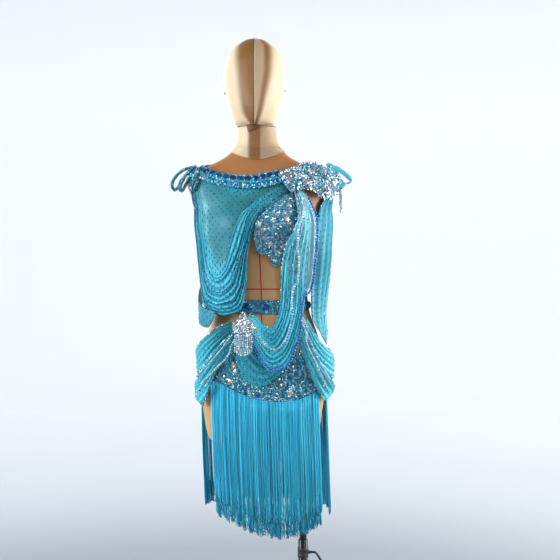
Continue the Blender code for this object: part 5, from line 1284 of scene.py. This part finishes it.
# -------------------- dress: hip swags
# Turquoise mesh strips caught up at the waist and pinned behind the hip, each in a few long
# folds with a net of dark stones and a beaded edge.
HIP_SWAGS = {   # rows of (degrees, height, lift in mm), lines, steps, row of SWAG_RIDGES, flat size
    "left_hip_swag_upper": (
        [[(-36, 0.982), (-46.5, 0.969), (-56, 0.95), (-70, 0.925, 5), (-86, 0.898, 11), (-104, 0.88, 8),
          (-130, 0.872)],
         [(-36, 0.962), (-46.5, 0.937), (-56, 0.911), (-66, 0.876, 4), (-84, 0.85, 11), (-104, 0.845, 8),
          (-130, 0.848)]], 6, 14, 0, (0.055, 0.27)),
    "right_hip_swag_upper": (
        [[(51, 1.012), (58, 0.996), (63, 0.952, 2), (70, 0.922, 12), (84, 0.898, 22), (106, 0.884, 18),
          (130, 0.874)],
         [(48, 0.98), (53, 0.95), (57, 0.905, 2), (66, 0.864, 10), (84, 0.838, 21), (106, 0.832, 17),
          (130, 0.838)]], 6, 14, 1, (0.058, 0.27)),
    "left_hip_swag_middle": (
        [[(-28, 0.962), (-39, 0.946), (-49, 0.919), (-58.5, 0.89), (-67, 0.862), (-76, 0.834, 6),
          (-96, 0.806, 8)],
         [(-27, 0.912), (-36, 0.907), (-44, 0.898), (-51, 0.874), (-56, 0.852), (-62.5, 0.826),
          (-69, 0.802, 5), (-90, 0.782, 8)]], 6, 12, 2, (0.044, 0.22)),
    "right_hip_swag_lower": (
        [[(50, 0.975), (55, 0.925), (64, 0.872, 9), (78, 0.826, 18), (98, 0.8, 20)],
         [(45, 0.962), (47, 0.914), (53, 0.865, 2), (61, 0.819, 8), (70, 0.786, 16)]],
        7, 11, 3, (0.045, 0.21)),
    "left_hip_tail": (
        [[(-50, 0.872), (-56, 0.846), (-63, 0.82), (-76, 0.794, 6)],
         [(-53, 0.852), (-57, 0.828), (-62, 0.796, 4), (-70, 0.772, 8)]], 4, 9, 4, (0.024, 0.1))}
SWAG_RIDGES = [
    [(0.08, 0.07, 0.1, 4.0), (0.27, 0.24, 0.11, 6.0), (0.47, 0.48, 0.1, 5.0, 0.05, 1.0),
     (0.68, 0.7, 0.12, 7.0), (0.91, 0.92, 0.09, 5.0)],
    [(0.07, 0.08, 0.09, 4.0), (0.24, 0.28, 0.11, 5.5), (0.45, 0.47, 0.11, 7.0),
     (0.67, 0.66, 0.1, 5.0, 0.1, 1.0), (0.88, 0.9, 0.11, 6.0)],
    [(0.1, 0.08, 0.12, 4.0), (0.36, 0.34, 0.14, 6.0), (0.64, 0.66, 0.13, 5.0, 0.05, 1.0),
     (0.9, 0.92, 0.1, 4.0)],
    [(0.09, 0.08, 0.11, 4.0), (0.33, 0.3, 0.13, 6.0), (0.58, 0.6, 0.12, 4.5, 0.0, 0.95),
     (0.86, 0.88, 0.12, 5.5)],
    [(0.2, 0.2, 0.2, 2.5), (0.7, 0.75, 0.22, 3.0)]]
swag_cloth = chiffon("turquoise_swag_mesh", "#2CB2CC", "#66D4E0", 0.94, 0.45, 0.4)
for name, (rows, lines, steps, kind, flat) in HIP_SWAGS.items():
    swag = lay(rows, lines, steps, lean=None if kind == 4 else 12, fine=7, proud=0.0014, pinch=0.35,
               ridges=SWAG_RIDGES[kind])
    cloth_piece = sewn(name + "_mesh", name, swag, swag_cloth)
    studs = studded(swag, "stones", netted(swag, 0.016, 0.0096), 0.0034, DARKS + "#1B6F88", 61 + kind)
    edging = studded(swag, "edging", seams(swag, (0.01, 0.0046), (0.99, 0.0046)), 0.0042,
                     TEALS + SILVERS + "#2A5F80", 71 + kind)
    if name in ("right_hip_swag_upper", "right_hip_swag_lower", "left_hip_tail"):
        press_down()

# -------------------- dress: lower swag
# One soft scoop of satin mesh below the sash, with a double stitched hem.
scoop_satin = chiffon("soft_turquoise_satin", "#229CB8", "#46BACE", 0.96, 0.42, 0.4, "#0C6484")
scoop = lay([
    [(-32, 0.958), (-22, 0.957), (-10, 0.938), (4, 0.906), (22, 0.902), (42, 0.95)],
    [(-31.5, 0.916), (-31, 0.888), (-28.5, 0.863), (-23, 0.841), (-14, 0.829), (-5, 0.826), (6, 0.831),
     (16, 0.848), (29, 0.871), (42.5, 0.918)]],
    7, 13, lean=16, fine=7, proud=0.0012, pinch=0.2, hem=0.0008,
    ridges=[(0.1, 0.12, 0.09, 5.0), (0.3, 0.26, 0.1, 8.0), (0.52, 0.5, 0.1, 6.5, 0.05, 0.95),
            (0.72, 0.76, 0.09, 5.0, 0.15, 0.9), (0.9, 0.9, 0.045, 2.6), (0.975, 0.975, 0.03, 2.0)])
scoop_piece = sewn("lower_scoop", "lower_swag", scoop, scoop_satin)
scoop_dots = studded(scoop, "stones", netted(scoop, 0.019, 0.011), 0.0034, DARKS, 81)
press_down()

# -------------------- dress: sash
# Wide satin sash from the right shoulder, gathered there, falling in nested U pleats to the
# brooch at the left of the waist.
sash_satin = chiffon("bright_turquoise_satin", "#2CC0DE", "#62DAEC", 0.97, 0.4, 0.4, "#0A6A90", "#4CD6EC")
sash = lay([
    [(51, 1.322), (49.5, 1.29), (45, 1.258), (41.5, 1.232), (36.5, 1.206), (32, 1.176), (29.6, 1.14),
     (28.4, 1.1), (28.3, 1.065), (27, 1.026), (22, 0.994), (14, 0.972), (4, 0.977), (-7, 0.997),
     (-18, 1.006)],
    [(53.5, 1.322), (47, 1.236), (44, 1.158), (44, 1.078), (41.5, 1.027), (33.5, 0.972), (25, 0.938),
     (13.6, 0.918), (1.5, 0.936), (-10, 0.965), (-20, 0.982)],
    [(56, 1.32), (52, 1.242), (53, 1.198), (54.5, 1.142), (54.5, 1.079), (52, 1.026), (45.5, 0.973),
     (38.5, 0.927), (31, 0.888), (22, 0.868), (12, 0.864), (2, 0.878), (-6, 0.903), (-15, 0.938),
     (-21, 0.96)]],
    15, 22, lean=9, fine=6, proud=0.0012, pinch=0.15,
    ridges=[(0.04, 0.03, 0.05, 5.5), (0.17, 0.12, 0.07, 8.5), (0.26, 0.23, 0.05, 5.0, 0.38, 1.0),
            (0.32, 0.34, 0.05, 6.0, 0.3, 0.97), (0.42, 0.45, 0.08, 9.5), (0.56, 0.57, 0.055, 6.0, 0.4, 1.0),
            (0.68, 0.67, 0.075, 9.0), (0.79, 0.78, 0.05, 5.0, 0.33, 0.95), (0.88, 0.89, 0.06, 8.5),
            (0.975, 0.975, 0.04, 4.5, 0.2, 1.0)])
sash_piece = sewn("draped_sash", "sash", sash, sash_satin)
v, s = sash["v"], sash["s"]
paler_part = np.clip((v - 0.42) / 0.14, 0, 1) * np.clip((0.47 - s) / 0.1, 0, 1)      # the dye is paler towards the arm, and over its upper half
paler_part = np.maximum(0.55 * paler_part, 0.3 * np.clip((0.56 - s) / 0.2, 0, 1))
marked(sash_piece, "pale", paler_part)
sash_dots = studded(sash, "stones", netted(sash, 0.015, 0.0105), 0.0034, DARKS + "#1B6F88", 82)
rows_of = seams(sash, (0.005, 0.0052), *((v, 0.0042, 0.0, 0.44) for v in
                                         ((0.22, 0.31), (0.38, 0.45), (0.57, 0.62))))
sash_rows = studded(sash, "bead_rows", rows_of, 0.004, TEALS + SILVERS + SILVERS, 83)
press_down()

# -------------------- dress: shoulder applique
# Thick cluster of clear, pearly and blue stones over the right shoulder, where the drapes meet.
spray = lay([
    [(40, 1.35), (50, 1.361), (62, 1.373), (74, 1.382), (86, 1.383), (94, 1.38)],
    [(43, 1.298), (53, 1.311), (62, 1.315), (69, 1.301), (82, 1.315), (92, 1.332)]],
    6, 12, fine=5, proud=0.004,
    bumps=bosses([(50, 1.332), (60, 1.35), (72, 1.334), (80, 1.362), (86, 1.34)], 0.004, 0.014))
spray_net = sewn("shoulder_net", "shoulder_applique", spray, stoned)
crusted = encrusted(spray, 0.0033, 0.0095, 91, 0.0034,
                    ["#9FBFCE #C4D6E0 #7FAEC2", "#2A8CA6 #5FB0C4 #1F7C98", "#BCD2DE #8FBED0 #6FA8C8"],
                    "#DCE4EC #CFC2CF #BCD6E4 #8FC8D8", 0.007)
rng = np.random.default_rng(5)
jewels = studded(spray, "jewels", (rng.uniform(0.04, 0.97, 90), rng.uniform(0.04, 0.96, 90)),
                 up=rng.uniform(0.002, 0.006, (90, 1)), size=rng.uniform(0.004, 0.009, 90),
                 palette="#DDE3EA #CDBFD0 #BFD3E0 #8FB8CC #5FA8C4 #8FC8D4 #E3E8EE", seed=92,
                 sides=8, high=0.75, tilt=0.4)
s = np.concatenate([np.linspace(0.02, 0.98, 20), np.linspace(0.02, 0.98, 17)])
v = np.concatenate([np.full(20, 0.985), np.full(17, 0.02)])
at, out = spots(spray, s, v)
fanned = spots(spray, s, np.where(v > 0.5, 0.9, 0.1))[0]
petals = crystals("shoulder_petals", "shoulder_applique", at + (at - fanned) * 0.25 + out * 0.001, out,
                  np.random.default_rng(6).uniform(0.009, 0.014, 37),
                  drawn("#B9D0DC #8FC0D0 #CFC2CF #4FA6BC #DDE6EE", 37, 93), sides=8, slim=0.45,
                  along_hint=at - fanned, high=0.3, tilt=0.2)
crusted += blossoms(spray, [0.1, 0.26, 0.42, 0.58, 0.76, 0.9, 0.34, 0.66],
                    [0.55, 0.25, 0.7, 0.3, 0.62, 0.35, 0.45, 0.85], 0.011,
                    "#CFC6D4 #BFD3E0 #A9CBD8 #DCD8E0", 94)
press_down()

# -------------------- dress: beaded strings
# Pearls and glass beads threaded close on cord, sewn down along the folds they follow.
nacre = bare("pearl_coated_glass")       # pearl lacquer over glass: soft deep gloss, cool shadow
shader = add(nacre, "BsdfPrincipled", {
    "Base Color": add(nacre, "Attribute", {}, attribute_name="tint"), "Roughness": 0.24,
    "Coat Weight": 0.6, "Coat Roughness": 0.08, "Specular IOR Level": 0.6})
add(nacre, "OutputMaterial", {"Surface": shader})
STRINGS = {   # (degrees, height) along the string, bead across, lean of its fall, colours
    "pearl_string": ([(52.5, 1.288), (49, 1.261), (44, 1.238), (41.5, 1.224), (43.5, 1.178), (46, 1.143),
                      (46.6, 1.118), (45.8, 1.091), (42, 1.072), (40, 1.05), (37.5, 1.0), (33.3, 0.965),
                      (29.5, 0.944), (20.7, 0.921), (13.5, 0.918), (7, 0.926), (0, 0.939), (-6, 0.961),
                      (-10.4, 0.984)], 0.0058, 9, "#D3D9E6 #B4C4DA #E3E6EC #9FB4CC"),
    "blue_string": ([(58.5, 1.292), (60, 1.266), (61, 1.241), (61, 1.206), (62, 1.174), (62, 1.115),
                     (61, 1.085), (57.5, 1.061), (51.5, 1.046), (48.5, 1.028), (46, 0.984), (42, 0.942),
                     (37.5, 0.915), (32, 0.886), (27, 0.874), (19.8, 0.869), (12.5, 0.87), (5, 0.881),
                     (-1.7, 0.899), (-7, 0.918), (-10.7, 0.934), (-13.0, 0.95), (-14.5, 0.97),
                     (-15.0, 0.988)],
                    0.007, 9, "#0E5EBC #1670D0 #0C50AA"),
    "left_hip_string": ([(-31, 0.942), (-38, 0.911), (-45, 0.886), (-51.5, 0.866), (-58, 0.846),
                         (-64, 0.828)], 0.0058, None, "#B9D0DC #CFE0E8 #9FBFD0"),
    "right_hip_string": ([(46, 0.99), (49, 0.968), (52, 0.946), (57.5, 0.899), (63, 0.86), (67, 0.842)],
                         0.0056, None, "#8FA4C4 #A3B4D0 #B8C6D8")}


def strung(row, count, radius, lean):
    """The line of a string: along its row, a bead's radius clear of the layers, drawn taut."""
    line = along(row, count)
    u, z = np.radians(line[:, 0])[None], line[:, 1][None]
    lift = np.maximum(under(u, z, 2, 3) + radius + 0.0003, radius + 0.0016)
    if lean is not None:
        lift = np.maximum(lift, plumb(u, z, math.radians(lean)))
    lift = eased(taut(np.repeat(lift, 3, 0), 30), 4)[1]
    at = off_trunk(u[0], z[0], lift)
    wide = math.radians(1.2)
    waiting.append((np.repeat(u, 2, 0) + np.array([[-wide], [wide]]), np.repeat(z, 2, 0),
                    np.repeat(lift[None] + radius, 2, 0)))
    return at


def threaded(at, pitch):
    """Points a pitch apart along a line of points."""
    length = walked(at)
    stops = np.arange(pitch / 2, length[-1], pitch)
    return np.stack([np.interp(stops, length, at[:, k]) for k in range(3)], -1)


for name, (row, across, lean, tones) in STRINGS.items():
    at = threaded(strung(row, 200, across / 2, lean), across * (1.22 if name == "pearl_string" else 1.06))
    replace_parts(beads(name + "_beads", at, across, drawn(tones, len(at), len(name)), 10, 7), name)
    press_down()

# A second string of small clear beads runs beside each hip string.
for name, row in (("left_hip_string", [(-33, 0.952), (-40, 0.93), (-47, 0.909), (-53.5, 0.889), (-60, 0.868),
                                       (-67, 0.846)]),
                  ("right_hip_string", [(44, 0.984), (47, 0.955), (49.5, 0.925), (54.5, 0.885), (59.5, 0.85),
                                        (63.5, 0.826)])):
    at = threaded(strung(row, 120, 0.0025, None), 0.0052)
    beads(name + "_second", at, 0.005, drawn("#A9C3D0 #8FB4C4 #C3D4DE", len(at), 7))
press_down()

# -------------------- dress: brooch and its tassel
# Cluster of clear crystals on the left of the waist: rays of slim stones, rings of round ones and
# a loose heap over them, glued to a net, with nine short strands of beads hanging from it.
pin_at = np.array([[math.radians(-21.6)]]), np.array([[0.974]])
pin_out = unit(trunk_normal(*pin_at)[0, 0] * (1, 1, 0))      # level, straight out from the trunk
pin_side = np.cross(UP, pin_out)
pin = trunk(*pin_at)[0, 0] + pin_out * (under(*pin_at, 6, 7)[0, 0] + 0.0016)


def starred(turn, reach, raise_by, count, size, slim, sides, tones, seed, pointed=True):
    """A ring of stones round the brooch's centre, each pointing outward."""
    t = turn + 2 * math.pi * np.arange(count) / count
    ray = pin_side * np.cos(t)[:, None] * 0.85 + np.array([0, 0, 0.85]) * np.sin(t)[:, None]
    reach = np.broadcast_to(reach, (count,))[:, None]
    at = pin + ray * reach + pin_out * raise_by
    out = pin_out + ray * (0.45 if pointed else 0.3)
    return crystals("brooch_ring_%d" % seed, "brooch", at, unit(out), size, drawn(tones, count, seed),
                    sides=sides, slim=slim, along_hint=ray, tilt=0.05, seed=seed,
                    high=0.5 if pointed else 0.7)


pin_rays = np.array([0.028, 0.02, 0.0275, 0.02, 0.033, 0.0205, 0.029, 0.02, 0.0305, 0.02, 0.029,
                     0.02, 0.028, 0.02])
t = np.linspace(0, 2 * math.pi, 15)[:-1]
spokes = pin_side * np.cos(t)[:, None] * 0.85 + np.array([0, 0, 0.8]) * np.sin(t)[:, None]
web = np.stack([pin + spokes * (pin_rays * k)[:, None] + pin_out * rise
                for k, rise in ((1.05, 0.0), (1.05, 0.002), (0.6, 0.005), (0.2, 0.007))])
standing(surface("brooch_back", web, stoned, ring=True, caps=True), "brooch")
CLEARS = "#E6EEF6 #C9DCEA #F2F6FA #A9C7DC #DDE8F2 "
starred(0.0, pin_rays, 0.003, 14, np.tile([0.0125, 0.0085], 7), 0.5, 8, CLEARS, 101)
starred(0.22, 0.0125, 0.0068, 10, 0.0068, 1.0, 8, CLEARS + "#7FB4D0", 102, False)
starred(0.0, 0.007, 0.0088, 6, 0.0055, 1.0, 8, CLEARS, 103, False)
crystals("brooch_centre", "brooch", (pin + pin_out * 0.0088)[None], pin_out[None], 0.0105,
         drawn("#F2F6FA", 1, 1), sides=12, tilt=0.0, high=0.7)
heap = np.random.default_rng(107)        # loose heap of clear stones over it, kite-shaped, point up
t, far = heap.uniform(0, 2 * math.pi, 130), heap.uniform(0.15, 1, 130) ** 0.6
reach = np.where(np.sin(t) > 0, 1 / (np.abs(np.cos(t)) / 0.027 + np.abs(np.sin(t)) / 0.04), 0.025)
at = pin + (pin_side * (np.cos(t) * far * reach)[:, None]
            + UP * (np.sin(t) * far * reach)[:, None] + pin_out * (0.0095 - 0.006 * far)[:, None])
crystals("brooch_heap", "brooch", at, np.broadcast_to(pin_out, at.shape), heap.uniform(0.004, 0.0085, 130),
         drawn(CLEARS + "#E3DCCB #C9C6B8 #BFD6D6 #8FB4BE #EFEBDD", 130, 108), sides=7, tilt=0.45, high=0.8)


def tassel(name, node, root, across, out, rows, tones, bead=0.003, big=()):
    """Strands of small beads below a short bar, each with a larger one at its foot; rows are
    (place, length), and big says in which sixth of which strand the beads are larger."""
    places, sizes = [], []
    rng = np.random.default_rng(len(rows))
    for k, (place, long) in enumerate(rows):
        down = 0.004
        while down < long:
            d = bead * rng.uniform(0.85, 1.15) * (1.4 if (k, int(down / long * 6)) in big else 1.0)
            if down + d >= long:
                d = min(bead * 1.5, 0.0045)
            places.append(root + across * (place + 0.0004 * math.sin(down * 300 + k)) + out * 0.0016
                          - np.array([0, 0, min(down + d / 2, long - d / 2)]))
            sizes.append(d)
            down += d * 1.02
    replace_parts(beads(name, np.array(places), np.array(sizes),
                      drawn(tones, len(places), len(rows)), rings=6), node)
    ends = root + across * np.array([[rows[0][0] - 0.002], [rows[-1][0] + 0.002]]) + out * 0.0016
    pinned(swept(name + "_bar", ends + np.array([0, 0, -0.003]), 0.0016, stoned, hint=out, sides=8))


hang = pin_at[0], np.array([[0.93]])
hang_at = off_trunk(hang[0], hang[1], under(*hang, 6, 8))[0, 0]
pin_reach = max(0.0, float((hang_at - pin) @ pin_out)) + 0.001
tassel("brooch_strands", "brooch_tassel", pin + pin_out * pin_reach + np.array([0, 0, -0.014]), pin_side,
       pin_out, [(-0.0205, 0.047), (-0.0154, 0.05), (-0.0103, 0.053), (-0.0052, 0.056), (0.0, 0.056),
                 (0.0052, 0.055), (0.0104, 0.053), (0.0156, 0.05), (0.0208, 0.046)],
       "#CFE0EC #A9C4CC #E6EEF6 #7FAEBC #D6DCD6 #B9D0DC", 0.0042,
       {(0, 2), (1, 5), (2, 3), (3, 5), (4, 2), (5, 4), (6, 3), (7, 5), (8, 2)})

# -------------------- dress: tassel of the right shoulder
# Three strands of silver beads off the end of the shoulder cluster.
tip = np.array([[math.radians(90)]]), np.array([[1.29]])
tip_lift = float(under(*tip, 3, 9)[0, 0])
tip_root = trunk(np.array(math.radians(90)), np.array(1.3)) + np.array([tip_lift + 0.001, -0.012, 0.03])
tassel("shoulder_strands", "shoulder_tassel", tip_root, np.array([0.35, -0.94, 0.0]),
       np.array([0.94, 0.35, 0.0]), [(0.0, 0.047), (0.0055, 0.066), (0.011, 0.057)],
       "#A9B9BE #C3D0D4 #DCE4E6 #93A6AC", 0.004)

# -------------------- dress: shoulder loops
# Left: stuffed cords wound round with four rows of teal and clear stones.  Right: flat satin
# ribbon turned into petals with a beaded edge.
LEFT_LOOPS = {  # (x, height) out from the shoulder and back
    "left_loop_outer": [(-0.186, 1.3865), (-0.2015, 1.3825), (-0.2158, 1.3783), (-0.2314, 1.3679),
        (-0.2431, 1.3536), (-0.2483, 1.338), (-0.2418, 1.325), (-0.2319, 1.3328), (-0.2249, 1.3484),
        (-0.2145, 1.362), (-0.2035, 1.37)],
    "left_loop_middle": [(-0.184, 1.3822), (-0.195, 1.3765), (-0.208, 1.3634), (-0.2197, 1.3442),
        (-0.2262, 1.326), (-0.221, 1.3198), (-0.2129, 1.3328), (-0.206, 1.346), (-0.1985, 1.358)],
    "left_loop_inner": [(-0.178, 1.379), (-0.186, 1.374), (-0.195, 1.361), (-0.203, 1.343), (-0.206, 1.327),
        (-0.201, 1.32), (-0.195, 1.329), (-0.19, 1.342)]}
RIGHT_LOOPS = {
    "right_loop_outer": [(0.19, 1.38), (0.1984, 1.3832), (0.21, 1.3775), (0.222, 1.3695), (0.234, 1.3588),
        (0.2405, 1.3484), (0.2314, 1.3419), (0.221, 1.3437), (0.2106, 1.3471), (0.2, 1.353)],
    "right_loop_upper": [(0.186, 1.389), (0.1938, 1.391), (0.2054, 1.383), (0.2132, 1.37), (0.2096, 1.357),
        (0.2006, 1.364), (0.194, 1.373)],
    "right_loop_lower": [(0.1925, 1.338), (0.1985, 1.3318), (0.2088, 1.3331), (0.2156, 1.34),
        (0.2088, 1.349), (0.1985, 1.353)]}


def seated(node, path):
    """A loop's line through its (x, height) rows, moved to the middle of its node's box."""
    line = smooth_path([(x, 0, z) for x, z in path], 60)
    low, high = np.array(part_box(node))
    line[:, 1] = (low[1] + high[1]) / 2
    line[:, 0] += (low[0] + high[0]) / 2 - (line[:, 0].min() + line[:, 0].max()) / 2
    return line


for node, path in LEFT_LOOPS.items():
    line = seated(node, path)
    standing(swept(node + "_cord", line, 0.0038, stoned), node)
    way = unit(np.gradient(line, axis=0))
    k = np.linspace(0, len(line) - 1, 46)
    mid = np.stack([np.interp(k, np.arange(len(line)), line[:, c]) for c in range(3)], -1)
    way = np.stack([np.interp(k, np.arange(len(line)), way[:, c]) for c in range(3)], -1)
    first = unit(np.cross(way, (0, 1.0, 0)))
    places, facings = [], []
    for turn in range(4):
        a = 2 * math.pi * turn / 4 + np.arange(46)[:, None] * 0.9
        ray = first * np.cos(a) + np.array([0, 1.0, 0]) * np.sin(a)
        places.append(mid + ray * 0.0036)
        facings.append(ray)
    crystals(node + "_stones", node, np.concatenate(places), np.concatenate(facings), 0.0036,
             drawn("#1E6E7C #2F8FA0 #155A6C #4FA6B4 #8FB9C4 #0F4A60 #C9DDE4 #2C7F92", 184, 111), tilt=0.1)

ribbon_satin = chiffon("turquoise_satin_ribbon", "#34C0D6", "#7AE4EE", 1.0, 0.3, 0.3)
for node, path in RIGHT_LOOPS.items():
    line = seated(node, path)
    wide = np.interp(evenly(60), [0, 0.12, 0.5, 0.62, 1], [0.004, 0.0052, 0.0052, 0.0022, 0.0018])
    standing(swept(node + "_ribbon", line, wide, ribbon_satin, flat=0.4), node)
    across = framed(line, np.array([0, 1.0, 0]))[1] * wide[:, None]
    for way, label in ((-1, "_inner_piping"), (1, "_outer_piping")):
        pinned(swept(node + label, (line + across * way)[:36], 0.0009, pale_satin, sides=8))
    edge = threaded((line + np.array([0, -0.0024, 0]))[34:], 0.0034)
    beads(node + "_edge", edge, 0.0031, drawn("#BFD6E2 #9FC0D4 #DDE6EE #3F5F70", len(edge), 12))
